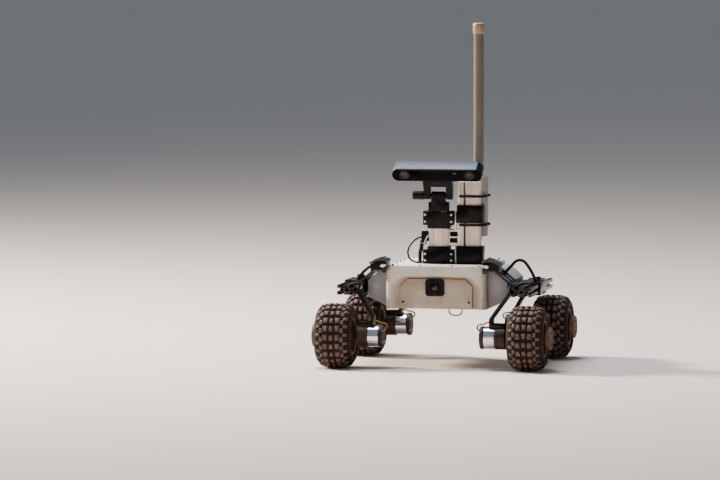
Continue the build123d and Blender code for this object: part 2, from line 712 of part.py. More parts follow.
# Radio module behind its column, with the antenna on top of it
radio_box_x = RADIO_X + RADIO_SHIFT
radio_box_y = COLUMN_Y + CLAMP_D / 2 + RADIO_D / 2
radio_z = DECK_Z + RADIO_RISE
neck_z = radio_z + RADIO_H
antenna_z = neck_z + NECK_H + FERRULE_H
with BuildPart() as radio_module:
    with BuildSketch(Plane.XY.offset(radio_z)):
        with Locations((radio_box_x, radio_box_y)):
            RectangleRounded(RADIO_W, RADIO_D, RADIO_R)
    extrude(amount=RADIO_H)
save(radio_module.part, "radio_module")

# radius, from Z, to Z
FITTINGS = (
    (CONNECTOR_R, radio_z - CONNECTOR_L, radio_z),
    (NECK_R, neck_z, neck_z + NECK_H),
    (ANTENNA_R, neck_z + NECK_H, antenna_z),
    (CAP_R, antenna_z + ANTENNA_L, antenna_z + ANTENNA_L + CAP_H),
)
with BuildPart() as antenna_fittings:
    for radius, z0, z1 in FITTINGS:
        with BuildSketch(Plane.XY.offset(z0)):
            with Locations((radio_box_x, radio_box_y)):
                RegularPolygon(radius, ROUND_SIDES)
        extrude(amount=z1 - z0)
save(antenna_fittings.part, "antenna_fittings")
with BuildPart() as antenna_tube:
    with BuildSketch(Plane.XY.offset(antenna_z)):
        with Locations((radio_box_x, radio_box_y)):
            RegularPolygon(ANTENNA_R, ROUND_SIDES)
    extrude(amount=ANTENNA_L)
save(antenna_tube.part, "antenna_tube")

column_right = RADIO_X - COLUMN_W / 2
column_left = RADIO_X + COLUMN_W / 2
radio_right = radio_box_x - RADIO_W / 2
radio_left = radio_box_x + RADIO_W / 2
radio_back = radio_box_y + RADIO_D / 2
tie_path = (
    (column_right, COLUMN_Y - COLUMN_D / 2), (column_left, COLUMN_Y - COLUMN_D / 2),
    (radio_left, radio_box_y - RADIO_D / 2), (radio_left, radio_back),
    (radio_right, radio_back), (column_right, COLUMN_Y + COLUMN_D / 2),
)
TIE_T = 1.5
TIE_H = 5.0
tie_rises = (0.46 * RADIO_COLUMN_H, 0.81 * RADIO_COLUMN_H)
with BuildPart() as cable_ties:
    for rise in tie_rises:
        with BuildSketch(Plane.XY.offset(DECK_Z + rise)):
            Polygon(*tie_path, align=None)
            offset(amount=SEAT_GAP + TIE_T, kind=Kind.INTERSECTION)
        extrude(amount=TIE_H)
        with BuildSketch(Plane.XY.offset(DECK_Z + rise)):
            Polygon(*tie_path, align=None)
            offset(amount=SEAT_GAP, kind=Kind.INTERSECTION)
        extrude(amount=TIE_H, mode=Mode.SUBTRACT)
save(cable_ties.part, "cable_ties")

# Looms from glands on the pods' sloping faces, over to clips on the saddles
LOOM_D = 6.0
LOOM_Y = -39.0
GLAND_R = 4.4
GLAND_L = 5.0
CLIP_W = 14.0
CLIP_L = 12.0
CLIP_H = 8.0
CLIP_Y = 8.0
loom_z = saddle_top + LOOM_D / 2 + SEAT_GAP
slope_from = Vector(BODY_HALF + POD_W * POD_SECTION[1][0], 0, POD_TOP)
slope_to = Vector(POD_OUT, 0, BODY_Z0 + pod_h * POD_SECTION[2][1])
slope_out = Vector(slope_from.Z - slope_to.Z, 0, slope_to.X - slope_from.X).normalized()
gland_seat = slope_from + (slope_to - slope_from) * 0.38
gland_face = gland_seat + slope_out * GLAND_L
with BuildPart() as glands:
    for name, side in SIDES:
        seat = (side * gland_seat.X, LOOM_Y, gland_seat.Z)
        with BuildSketch(Plane(seat, x_dir=(0, 1, 0), z_dir=(side * slope_out.X, 0, slope_out.Z))):
            RegularPolygon(GLAND_R, SMALL_SIDES)
        extrude(amount=GLAND_L)
save(glands.part, "glands")
# side name, sign of X, X of the clip, first run, then the loom's way over the gap and down onto the saddle
LOOMS = (
    ("left", 1, 184.0, 13.0, (
        (151.0, -39.0, 212.6), (166.0, -39.0, 212.2), (177.0, -39.0, 197.5), (184.2, -37.5, 184.5),
        (188.3, -31.5, 172.0), (187.5, -18.5, loom_z), (184.5, -6.0, loom_z + 0.2))),
    ("right", -1, 176.5, 10.0, (
        (147.7, -39.0, 196.5), (160.5, -39.0, 185.5), (169.5, -38.0, 176.3),
        (174.5, -31.0, 171.7), (176.0, -18.5, loom_z), (176.8, -5.0, loom_z + 0.2))),
)
with BuildPart() as loom_clips:
    for name, side, clip_x, first_run, way in LOOMS:
        with BuildSketch(Plane.XY.offset(saddle_top)):
            with Locations((side * clip_x, CLIP_Y + CLIP_L / 2)):
                Rectangle(CLIP_W, CLIP_L)
        extrude(amount=CLIP_H)
save(loom_clips.part, "loom_clips")
for name, side, clip_x, first_run, way in LOOMS:
    second = gland_face + slope_out * first_run
    save_cord(f"loom_{name}", LOOM_D, (
        (side * gland_face.X, LOOM_Y, gland_face.Z),
        (side * second.X, LOOM_Y, second.Z),
        *[(side * x, y, z) for x, y, z in way],
        (side * clip_x, CLIP_Y, loom_z),
    ))

# Connector block on the camera column and the two leads out of it
POWER_D = 7.5
PLUG_RISE = 45.0
PLUG_W = 16.0
PLUG_D = 14.0
PLUG_H = 20.0
plug_in = CAMERA_X - COLUMN_W / 2
plug_z = DECK_Z + PLUG_RISE
with BuildPart() as camera_plug:
    with BuildSketch(Plane.XY.offset(plug_z)):
        with Locations((plug_in - PLUG_W / 2, COLUMN_Y)):
            Rectangle(PLUG_W, PLUG_D)
    extrude(amount=PLUG_H)
save(camera_plug.part, "camera_plug")
save_cord("power_lead", POWER_D, (
    (plug_in - 12.0, COLUMN_Y, plug_z),
    (plug_in - 12.0, COLUMN_Y, plug_z - 8.0),
    (plug_in - 19.5, COLUMN_Y + 0.5, plug_z - 19.0),
    (plug_in - 20.0, COLUMN_Y + 1.0, plug_z - 32.0),
    (plug_in - 19.8, COLUMN_Y + 1.0, DECK_Z),
))
CABLE_D = 3.5
cable_y = COLUMN_Y - 4.0
cable_z = DECK_Z + CABLE_D / 2 + SEAT_GAP
save_cord("camera_cable", CABLE_D, (
    (plug_in - 16.0, cable_y, plug_z + 8.0),
    (plug_in - 25.0, cable_y, plug_z + 6.0),
    (plug_in - 38.0, cable_y - 0.5, plug_z - 6.0),
    (plug_in - 45.0, cable_y - 1.0, plug_z - 22.0),
    (plug_in - 40.0, cable_y - 2.0, plug_z - 37.0),
    (plug_in - 28.0, cable_y - 3.0, cable_z + 0.2),
    (plug_in - 19.0, cable_y - 3.5, cable_z + 0.4),
    (plug_in - 11.0, cable_y - 3.5, cable_z + 2.0),
))

# Wire loop under the front of the body
LOOP_Y = -96.0
save_cord("underside_loop", 2.6, (
    (24.0, LOOP_Y, BODY_Z0), (24.0, LOOP_Y, BODY_Z0 - 6.0), (27.0, LOOP_Y, BODY_Z0 - 10.5),
    (32.5, LOOP_Y, BODY_Z0 - 13.1), (42.0, LOOP_Y, BODY_Z0 - 13.1), (47.5, LOOP_Y, BODY_Z0 - 10.5),
    (50.5, LOOP_Y, BODY_Z0 - 6.0), (50.5, LOOP_Y, BODY_Z0),
))

# Motor leads, out of the end cap, over its rim and along to the leg
LEAD_D = 3.0
for corner, side, end in CORNERS:
    lead_y = end * WHEEL_Y
    rim_z = AXLE_Z + MOTOR_R
    save_cord(f"motor_lead_{corner}", LEAD_D, (
        (side * MOTOR_X, lead_y, rim_z - 9.0),
        (side * (MOTOR_X - 4.0), lead_y, rim_z - 8.6),
        (side * (MOTOR_X - 7.0), lead_y, rim_z - 4.6),
        (side * (MOTOR_X - 6.2), lead_y, rim_z + 0.4),
        (side * (MOTOR_X - 1.5), lead_y, rim_z + 3.2),
        (side * (MOTOR_X + 7.0), lead_y, rim_z + 3.6),
        (side * (MOTOR_X + 14.0), lead_y, rim_z + 7.5),
        (side * leg_x, lead_y, rim_z + 7.5),
    ))
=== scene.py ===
"""Looks of the planetary rover prototype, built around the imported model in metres."""
import json
from math import cos, pi, radians, sin

import bmesh
import bpy
from mathutils import Matrix, Vector

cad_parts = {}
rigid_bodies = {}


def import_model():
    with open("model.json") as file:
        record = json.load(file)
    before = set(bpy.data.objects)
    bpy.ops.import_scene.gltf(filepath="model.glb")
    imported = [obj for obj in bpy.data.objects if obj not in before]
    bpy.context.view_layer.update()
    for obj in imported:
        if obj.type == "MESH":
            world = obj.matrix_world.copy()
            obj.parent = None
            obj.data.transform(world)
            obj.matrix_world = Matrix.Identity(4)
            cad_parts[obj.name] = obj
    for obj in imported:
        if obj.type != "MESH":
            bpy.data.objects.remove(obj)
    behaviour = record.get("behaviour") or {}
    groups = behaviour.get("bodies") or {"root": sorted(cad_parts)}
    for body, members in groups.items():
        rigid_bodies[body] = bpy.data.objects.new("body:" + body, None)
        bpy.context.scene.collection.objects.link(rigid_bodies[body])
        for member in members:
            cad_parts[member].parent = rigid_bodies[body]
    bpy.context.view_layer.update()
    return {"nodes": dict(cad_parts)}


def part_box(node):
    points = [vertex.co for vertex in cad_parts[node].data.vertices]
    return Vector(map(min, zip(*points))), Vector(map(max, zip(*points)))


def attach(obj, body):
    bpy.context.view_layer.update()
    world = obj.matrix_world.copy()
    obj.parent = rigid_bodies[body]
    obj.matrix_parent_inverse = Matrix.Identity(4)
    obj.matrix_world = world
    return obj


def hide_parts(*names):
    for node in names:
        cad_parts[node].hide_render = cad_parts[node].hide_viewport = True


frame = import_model()
MM = 0.001
TAU = 2 * pi
CORNERS = ("front_left", "front_right", "rear_left", "rear_right")
SIDES = (("left", 1), ("right", -1))


def span(node):
    """Lowest corner, highest corner and middle of a CAD node, in millimetres."""
    low, high = (Vector(corner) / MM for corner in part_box(node))
    return low, high, (low + high) / 2


# Nodes

def add(tree, kind, feeds=None, **settings):
    """Adds one node, with its settings, and its sockets fed by values or by other sockets."""
    made = tree.nodes.new(kind)
    for name, value in settings.items():
        setattr(made, name, value)
    for key, value in (feeds or {}).items():
        if isinstance(value, bpy.types.NodeSocket):
            tree.links.new(value, made.inputs[key])
        else:
            made.inputs[key].default_value = value
    return made


def srgb(code):
    """Linear colour of a hex code."""
    parts = [int(code[i:i + 2], 16) / 255 for i in (1, 3, 5)]
    return tuple(c / 12.92 if c <= 0.04045 else ((c + 0.055) / 1.055) ** 2.4 for c in parts) + (1.0,)


def bare_material(name):
    """A new material and its empty node tree."""
    material = bpy.data.materials.new(name)
    material.use_nodes = True
    material.node_tree.nodes.clear()
    return material, material.node_tree


DUST = "#a5836c"          # pale red-brown soil
DUST_ENDS = 2.2           # height where the dust ends, in dust rises
DUST_FULL = 0.5           # height below which it is full, in dust rises
HOLLOW_PAINTED_SHADE = "#b3917a"   # painted shade, a warm tan, in the recess behind the hood
HOLLOW_FRONT = -90.0      # this painted shade lies in front of this Y
HOLLOW_TOP = 185.0        # and below this Z


def finish(name, colour, shade, roughness, metallic=0.0, dust=0.3, dust_rise=90.0, grain=0.6,
           grain_depth=0.04, coat=0.0, stretch=(1.0, 1.0, 1.0), ior=1.5, patch=45.0, fleck=0.07,
           hollow=None):
    """A surface of two close colours in soft patches, a fine grain, and dust on its low and upward faces.

    patch and grain are sizes in millimetres, grain_depth is the grain's height in millimetres, fleck is how
    far the grain darkens, and dust_rise is the height over which the dust thins out. hollow is the depth along Y,
    from face to floor, over which a warm tan painted shade darkens the recess behind the hood.
    """
    material, tree = bare_material(name)
    place = add(tree, "ShaderNodeTexCoord").outputs["Object"]
    drawn = add(tree, "ShaderNodeMapping", {"Vector": place, "Scale": stretch}).outputs["Vector"]
    patches = add(tree, "ShaderNodeTexNoise", {"Vector": place, "Scale": 1 / (patch * MM), "Detail": 5.0,
                                               "Roughness": 0.62})
    grains = add(tree, "ShaderNodeTexNoise", {"Vector": drawn, "Scale": 1 / (grain * MM), "Detail": 3.0,
                                              "Roughness": 0.6})
    height = add(tree, "ShaderNodeSeparateXYZ", {"Vector": place}).outputs["Z"]
    normal = add(tree, "ShaderNodeNewGeometry").outputs["Normal"]
    level = add(tree, "ShaderNodeSeparateXYZ", {"Vector": normal}).outputs["Z"]
    low = add(tree, "ShaderNodeMapRange", {"Value": height, "From Min": dust_rise * DUST_ENDS * MM,
                                           "From Max": dust_rise * DUST_FULL * MM,
                                           "To Min": 0.0, "To Max": 1.0})
    flat = add(tree, "ShaderNodeMapRange", {"Value": level, "From Min": 0.2, "From Max": 1.0, "To Min": 0.0,
                                            "To Max": 0.35})
    settled = add(tree, "ShaderNodeMath", {0: low.outputs[0], 1: flat.outputs[0]}, operation="ADD")
    cloud = add(tree, "ShaderNodeMapRange", {"Value": patches.outputs[0], "From Min": 0.36, "From Max": 0.66,
                                             "To Min": 0.15, "To Max": 1.0})
    held = add(tree, "ShaderNodeMath", {0: settled.outputs[0], 1: cloud.outputs[0]}, operation="MULTIPLY")
    dusty = add(tree, "ShaderNodeMath", {0: held.outputs[0], 1: dust}, operation="MULTIPLY", use_clamp=True)
    tone = add(tree, "ShaderNodeMapRange", {"Value": patches.outputs[0], "From Min": 0.32, "From Max": 0.7})
    paint = add(tree, "ShaderNodeMix", {"Factor": tone.outputs[0], "A": srgb(colour), "B": srgb(shade)},
                data_type="RGBA")
    flecks = add(tree, "ShaderNodeMapRange", {"Value": grains.outputs[0], "From Min": 0.35, "From Max": 0.7,
                                              "To Min": 1 - fleck, "To Max": 1 + 0.7 * fleck})
    flecked = add(tree, "ShaderNodeMix", {"Factor": 1.0, "A": paint.outputs["Result"],
                                          "B": flecks.outputs[0]},
                  data_type="RGBA", blend_type="MULTIPLY")
    dusted_and_shaded = add(tree, "ShaderNodeMix", {"Factor": dusty.outputs[0], "A": flecked.outputs["Result"],
                                         "B": srgb(DUST)}, data_type="RGBA")
    # Painted shade: the recess behind the hood turns warm tan with depth, below its top, standing in for shade and
    # warm bounce light there
    if hollow:
        depth = add(tree, "ShaderNodeSeparateXYZ", {"Vector": place}).outputs["Y"]
        sunk = add(tree, "ShaderNodeMapRange", {"Value": depth, "From Min": hollow[0] * MM,
                                                "From Max": hollow[1] * MM,
                                                "To Min": 0.0, "To Max": 0.5})
        forward_half = add(tree, "ShaderNodeMath", {0: depth, 1: HOLLOW_FRONT * MM}, operation="LESS_THAN")
        shade_by_depth = add(tree, "ShaderNodeMath", {0: sunk.outputs[0], 1: forward_half.outputs[0]},
                       operation="MULTIPLY")
        below = add(tree, "ShaderNodeMath", {0: height, 1: HOLLOW_TOP * MM}, operation="LESS_THAN")
        hollow_shade_mask = add(tree, "ShaderNodeMath", {0: shade_by_depth.outputs[0], 1: below.outputs[0]},
                   operation="MULTIPLY")
        dusted_and_shaded = add(tree, "ShaderNodeMix", {"Factor": hollow_shade_mask.outputs[0], "A": dusted_and_shaded.outputs["Result"],
                                             "B": srgb(HOLLOW_PAINTED_SHADE)}, data_type="RGBA")
    smear = add(tree, "ShaderNodeMapRange", {"Value": patches.outputs[0], "From Min": 0.3, "From Max": 0.7,
                                             "To Min": roughness * 0.86,
                                             "To Max": min(1.0, roughness * 1.16)})
    rough = add(tree, "ShaderNodeMath", {0: dusty.outputs[0], 1: 0.35, 2: smear.outputs[0]},
                operation="MULTIPLY_ADD", use_clamp=True)
    bump = add(tree, "ShaderNodeBump", {"Height": grains.outputs[0], "Strength": 0.6,
                                        "Distance": grain_depth * MM})
    shader = add(tree, "ShaderNodeBsdfPrincipled", {"Base Color": dusted_and_shaded.outputs["Result"],
                                                    "Roughness": rough.outputs[0],
                                                    "Metallic": metallic, "Normal": bump.outputs[0],
                                                    "IOR": ior,
                                                    "Coat Weight": coat, "Coat Roughness": 0.12})
    add(tree, "ShaderNodeOutputMaterial", {"Surface": shader.outputs[0]})
    return material


# Painted glass-fibre shell: warm white satin paint, faintly orange-peeled, soil along its lower edge, and a painted
# shade in the recess behind the hood
shell_paint = finish("painted_glass_fibre", "#e2dcd4", "#d5cdc4", 0.42, dust=0.42, dust_rise=78, grain=2.2,
                     grain_depth=0.03,
                     coat=0.15, hollow=(-117.2, -108.0))
# The hatch, a little warmer than the shell, and darker than it as painted shade
hatch_paint_and_shade = finish("painted_hatch_shaded", "#d2c6ba", "#c4b5a7", 0.45, dust=0.4, dust_rise=74, grain=2.2,
                     grain_depth=0.03)
# The same paint on the pods, cooler and duller where it is out of the sun
pod_paint = finish("painted_pod_board", "#bcbec3", "#aeb1b7", 0.5, dust=0.4, dust_rise=78, grain=2.2,
                   grain_depth=0.03)
# Powder-coated sheet aluminium: white, slightly pebbled
deck_coat = finish("white_powder_coat", "#f1ede6", "#e4ddd2", 0.5, dust=0.3, dust_rise=60, grain=1.2,
                   grain_depth=0.05)
# Black anodised aluminium extrusion: smooth along its lands, drawn lengthwise
black_anodised = finish("black_anodised_extrusion", "#0e0f12", "#16161a", 0.24, metallic=0.5, dust=0.16,
                        dust_rise=80,
                        grain=0.5, grain_depth=0.02, stretch=(1.0, 0.05, 1.0), ior=1.9)
# Black coated bent plate: satin, with dust in the bends
black_coat = finish("black_coated_plate", "#09090b", "#101013", 0.36, dust=0.11, dust_rise=85, grain=0.7,
                    grain_depth=0.03, ior=1.36)
# The same coat on the wings and saddles, glossier where it is flat
black_gloss = finish("gloss_black_plate", "#0b0b0e", "#121317", 0.24, dust=0.07, dust_rise=85, grain=0.7,
                     grain_depth=0.015, ior=1.6)
# Glossy dark blue on the stereo camera's right end: painted shade and painted sky reflection on its aluminium
end_shade_paint = finish("painted_shade_blue_end", "#2f4052", "#273544", 0.22, metallic=0.9, dust=0.03, dust_rise=60,
                  grain=0.3, grain_depth=0.01)
# Black moulded nylon: fine matt spark-eroded texture
black_nylon = finish("black_moulded_nylon", "#09090c", "#111014", 0.5, dust=0.1, dust_rise=70, grain=0.5,
                     grain_depth=0.04, ior=1.4)
# Natural anodised aluminium extrusion: pale warm lands with drawing lines about 2 mm apart up the mast
silver_anodised = finish("natural_anodised_extrusion", "#fdf3ea", "#f3dfd0", 0.5, metallic=0.15, dust=0.05,
                         dust_rise=80,
                         grain=1.7, grain_depth=0.05, stretch=(1.0, 1.0, 0.006), fleck=0.34)
# Machined aluminium bracket: bright, slightly scratched
bright_aluminium = finish("machined_aluminium", "#eceae8", "#dcd9d6", 0.34, metallic=0.7, dust=0.05,
                          dust_rise=80, grain=0.4, grain_depth=0.02)
# Bead-blasted aluminium of the stereo camera: even soft blue-grey
blasted_aluminium = finish("bead_blasted_aluminium", "#585e63", "#50565b", 0.48, metallic=0.4, dust=0.06,
                           dust_rise=60,
                           grain=0.3, grain_depth=0.03)
# Polished steel motor sleeve: near mirror, with a light film of dust below
polished_steel = finish("polished_steel_sleeve", "#eceef0", "#d8dbde", 0.14, metallic=1.0, dust=0.12,
                        dust_rise=45,
                        grain=0.5, grain_depth=0.008)
# Motor end caps and gearboxes: dark cast aluminium under a brown film of soil
soiled_casting = finish("soiled_dark_casting", "#1f1614", "#2e201c", 0.5, metallic=0.25, dust=0.3,
                        dust_rise=60, grain=0.9, grain_depth=0.06)
# Rims and hubs: matt castings, nearly covered in soil
soiled_hub = finish("soiled_hub_casting", "#66544a", "#7b685c", 0.6, metallic=0.2, dust=0.5, dust_rise=90,
                    grain=0.9, grain_depth=0.08)
# Light grey moulded ABS of the radio
radio_abs = finish("light_grey_abs", "#a8a3a1", "#9b9695", 0.45, dust=0.08, dust_rise=80, grain=0.9,
                   grain_depth=0.03)
# Painted fibreglass antenna tube: pale paint darkened to warm grey as painted shade, smooth, with faint lines along
# its length
antenna_paint_and_shade = finish("fibreglass_tube_painted_shade", "#827a74", "#786f69", 0.4, dust=0.05, dust_rise=80,
                       grain=0.8, grain_depth=0.02,
                       stretch=(1.0, 1.0, 0.05))
# Dull plated fittings of the antenna, pale tan
plated_brass = finish("dull_plated_brass", "#b79c82", "#a38870", 0.44, metallic=0.35, dust=0.08,
                      dust_rise=80, grain=0.4, grain_depth=0.02)
# Zinc-plated steel screws
zinc_steel = finish("zinc_plated_steel", "#dfe0e2", "#c9cacd", 0.3, metallic=0.8, dust=0.05, dust_rise=70,
                    grain=0.4, grain_depth=0.01)
# Blackened steel screws
black_steel = finish("blackened_steel", "#1c1c1f", "#28272b", 0.36, metallic=0.5, dust=0.1, dust_rise=80,
                     grain=0.4, grain_depth=0.01)
# Gloss polycarbonate window over the stereo lenses
gloss_window = finish("gloss_black_window", "#020203", "#040305", 0.24, dust=0.0, dust_rise=60, grain=6.0,
                      grain_depth=0.004, ior=1.22)
# Coated lens glass: dark with a violet-brown cast
lens_glass = finish("coated_lens_glass", "#2b1c2b", "#140f19", 0.08, dust=0.02, dust_rise=60, grain=5.0,
                    grain_depth=0.002, coat=0.6)
# Dull brown trim round the lenses
lens_trim = finish("brown_lens_trim", "#302321", "#231918", 0.5, dust=0.05, dust_rise=60, grain=0.6,
                   grain_depth=0.02)
# Painted shadow: dark brown in the gap behind a panel edge
painted_gap_shadow = finish("painted_gap_shadow", "#6a4a38", "#54392c", 0.9, dust=0.2, dust_rise=80, grain=0.8,
                     grain_depth=0.05)


def soiled_shaded_rubber():
    """Tyre rubber: brown-black and matt, pale with soil dust on the knobs' tops, and dark between the knobs as painted
    shade.
    """
    material, tree = bare_material("soiled_shaded_tyre_rubber")
    place = add(tree, "ShaderNodeTexCoord").outputs["Object"]
    crown_dust_and_shade = add(tree, "ShaderNodeAttribute", attribute_name="crown_dust_and_shade").outputs["Fac"]
    blots = add(tree, "ShaderNodeTexNoise", {"Vector": place, "Scale": 1 / (14 * MM), "Detail": 6.0,
                                             "Roughness": 0.65})
    grit = add(tree, "ShaderNodeTexNoise", {"Vector": place, "Scale": 1 / (0.9 * MM), "Detail": 3.0,
                                            "Roughness": 0.7})
    patchy = add(tree, "ShaderNodeMapRange", {"Value": blots.outputs[0], "From Min": 0.34, "From Max": 0.66,
                                              "To Min": 0.55, "To Max": 1.0})
    # Pale dust towards the knobs' tops, painted shade deeper between them
    pale = add(tree, "ShaderNodeMath", {0: crown_dust_and_shade, 1: patchy.outputs[0]}, operation="MULTIPLY")
    ground = add(tree, "ShaderNodeMix", {"Factor": blots.outputs[0], "A": srgb("#1d0f0b"),
                                         "B": srgb("#331e17")}, data_type="RGBA")
    dust_and_shade = add(tree, "ShaderNodeMix", {"Factor": pale.outputs[0], "A": ground.outputs["Result"],
                                       "B": srgb("#7c6b63")}, data_type="RGBA")
    speck = add(tree, "ShaderNodeMapRange", {"Value": grit.outputs[0], "From Min": 0.3, "From Max": 0.7,
                                             "To Min": 0.8, "To Max": 1.15})
    gritty = add(tree, "ShaderNodeMix", {"Factor": 1.0, "A": dust_and_shade.outputs["Result"], "B": speck.outputs[0]},
                 data_type="RGBA", blend_type="MULTIPLY")
    bump = add(tree, "ShaderNodeBump", {"Height": grit.outputs[0], "Strength": 0.7, "Distance": 0.15 * MM})
    shader = add(tree, "ShaderNodeBsdfPrincipled", {"Base Color": gritty.outputs["Result"],
                                                    "Roughness": 0.86,
                                                    "Normal": bump.outputs[0], "IOR": 1.5})
    add(tree, "ShaderNodeOutputMaterial", {"Surface": shader.outputs[0]})
    return material


def jacket(name, colour, shade, roughness, rib=0.0):
    """Cable jacket or ribbed conduit. rib is the spacing of its ribs along the cord, in cord widths."""
    material, tree = bare_material(name)
    coords = add(tree, "ShaderNodeTexCoord")
    scuffs = add(tree, "ShaderNodeTexNoise", {"Vector": coords.outputs["Object"], "Scale": 1 / (6 * MM),
                                              "Detail": 5.0})
    grains = add(tree, "ShaderNodeTexNoise", {"Vector": coords.outputs["Object"], "Scale": 1 / (0.4 * MM),
                                              "Detail": 2.0})
    blend = add(tree, "ShaderNodeMapRange", {"Value": scuffs.outputs[0], "From Min": 0.35, "From Max": 0.68})
    tint = add(tree, "ShaderNodeMix", {"Factor": blend.outputs[0], "A": srgb(colour), "B": srgb(shade)},
               data_type="RGBA")
    relief = grains.outputs[0]
    depth = 0.03
    if rib:
        along = add(tree, "ShaderNodeSeparateXYZ", {"Vector": coords.outputs["UV"]}).outputs["X"]
        phase = add(tree, "ShaderNodeMath", {0: along, 1: TAU * rib}, operation="MULTIPLY")
        relief = add(tree, "ShaderNodeMath", {0: phase.outputs[0]}, operation="SINE").outputs[0]
        depth = 0.35
    bump = add(tree, "ShaderNodeBump", {"Height": relief, "Strength": 0.8, "Distance": depth * MM})
    shader = add(tree, "ShaderNodeBsdfPrincipled", {"Base Color": tint.outputs["Result"],
                                                    "Roughness": roughness,
                                                    "Normal": bump.outputs[0], "IOR": 1.5})
    add(tree, "ShaderNodeOutputMaterial", {"Surface": shader.outputs[0]})
    return material


rubber = soiled_shaded_rubber()
# Black ribbed nylon conduit, scuffed brown
conduit = jacket("ribbed_nylon_conduit", "#17110f", "#2e211c", 0.38, rib=60)
# Black PVC jacket
black_jacket = jacket("black_cable_jacket", "#151114", "#231b1c", 0.4)
# Tan fibreglass-sleeved motor wire
tan_sleeve = jacket("tan_wire_sleeve", "#a08f5c", "#7d6c40", 0.6)
# Red-brown silicone wire
brown_wire = jacket("brown_silicone_wire", "#6f4030", "#54301f", 0.5)


# Shapes

def shaded(mesh, smooth_deg=32):
    """Shades a mesh smooth, apart from edges sharper than an angle."""
    mesh.shade_smooth()
    mesh.set_sharp_from_angle(angle=radians(smooth_deg))
    return mesh


def mesh_from(work, name):
    """A new mesh with a bmesh's shape. The bmesh is freed."""
    mesh = bpy.data.meshes.new(name)
    work.to_mesh(mesh)
    work.free()
    return mesh


def linked(name, data):
    """A new object in the scene."""
    obj = bpy.data.objects.new(name, data)
    bpy.context.scene.collection.objects.link(obj)
    return obj


def settle(obj, smooth_deg=32):
    """Bakes the modifiers into a plain mesh, shaded smooth up to an angle."""
    graph = bpy.context.evaluated_depsgraph_get()
    mesh = bpy.data.meshes.new_from_object(obj.evaluated_get(graph), preserve_all_data_layers=True,
                                           depsgraph=graph)
    obj.modifiers.clear()
    obj.data = shaded(mesh, smooth_deg)
    return obj


def piece(name, mesh, material):
    """A mesh in the scene, all of one material."""
    obj = linked(name, mesh)
    if material is not None:
        mesh.materials.clear()
        mesh.materials.append(material)
    return obj


def dress(obj, body, slot, *nodes):
    """The last calls on a finished piece."""
    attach(obj, body)
    if nodes:
        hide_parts(*nodes)
    return obj


def soften(node, name, material, edge, segments=2, body="chassis", slot=None, sharp_deg=33, flat_deg=1.5):
    """A copy of a CAD node with its triangles merged and its edges rounded by edge millimetres."""
    mesh = frame["nodes"][node].data.copy()
    work = bmesh.new()
    work.from_mesh(mesh)
    bmesh.ops.remove_doubles(work, verts=work.verts, dist=0.002 * MM)
    bmesh.ops.dissolve_limit(work, angle_limit=radians(flat_deg), verts=work.verts, edges=work.edges)
    work.to_mesh(mesh)
    work.free()
    obj = piece(name, mesh, material)
    bevel = obj.modifiers.new("edges", "BEVEL")
    bevel.width = edge * MM
    bevel.segments = segments
    bevel.limit_method = "ANGLE"
    bevel.angle_limit = radians(sharp_deg)
    bevel.harden_normals = True
    settle(obj, 40)
    return dress(obj, body, slot, node)


def turned(profile, place, segments=64):
    """A bmesh turned round the X axis from (distance along X, radius) pairs, then moved by place, in millimetres."""
    work = bmesh.new()
    rings = []
    for along, radius in profile:
        if radius < 1e-6:
            rings.append([work.verts.new((along, 0, 0))])
        else:
            rings.append([work.verts.new((along, radius * cos(TAU * i / segments),
                                          radius * sin(TAU * i / segments)))
                          for i in range(segments)])
    for one, two in zip(rings, rings[1:]):
        for i in range(segments):
            j = (i + 1) % segments
            corners = [one[i % len(one)], one[j % len(one)], two[j % len(two)], two[i % len(two)]]
            unique = list(dict.fromkeys(corners))
            if len(unique) > 2:
                work.faces.new(unique)
    bmesh.ops.transform(work, matrix=place, verts=work.verts)
    bmesh.ops.recalc_face_normals(work, faces=work.faces)
    return work


def turned_piece(name, parts, material, smooth_deg=32, segments=64):
    """One mesh of several turned shapes: (profile, place) pairs in millimetres."""
    whole = bmesh.new()
    for profile, place in parts:
        part = mesh_from(turned(profile, place, segments), "part")
        whole.from_mesh(part)
        bpy.data.meshes.remove(part)
    bmesh.ops.scale(whole, vec=(MM, MM, MM), verts=whole.verts)
    return piece(name, shaded(mesh_from(whole, name), smooth_deg), material)


def outlined(name, outlines, thickness, place, material, edge=0.3):
    """A flat plate cut to closed outlines, holes among them, with broken edges. Everything is in millimetres."""
    curve = bpy.data.curves.new(name, "CURVE")
    curve.dimensions = "2D"
    curve.fill_mode = "BOTH"
    for outline in outlines:
        spline = curve.splines.new("POLY")
        spline.points.add(len(outline) - 1)
        for point, (x, y) in zip(spline.points, outline):
            point.co = (x, y, 0, 1)
        spline.use_cyclic_u = True
    curve.extrude = thickness / 2 - edge
    curve.bevel_depth = edge
    curve.bevel_resolution = 1
    curve.offset = -edge
    flat = linked(name, curve)
    graph = bpy.context.evaluated_depsgraph_get()
    mesh = bpy.data.meshes.new_from_object(flat.evaluated_get(graph), depsgraph=graph)
    bpy.data.objects.remove(flat)
    bpy.data.curves.remove(curve)
    work = bmesh.new()
    work.from_mesh(mesh)
    bmesh.ops.remove_doubles(work, verts=work.verts, dist=0.0005)
    bmesh.ops.transform(work, matrix=Matrix.Scale(MM, 4) @ place, verts=work.verts)
    bmesh.ops.recalc_face_normals(work, faces=work.faces)
    work.to_mesh(mesh)
    work.free()
    return piece(name, shaded(mesh), material)


def ring(radius, x=0.0, y=0.0, count=24):
    """Outline of a circle."""
    return [(x + radius * cos(TAU * i / count), y + radius * sin(TAU * i / count)) for i in range(count)]


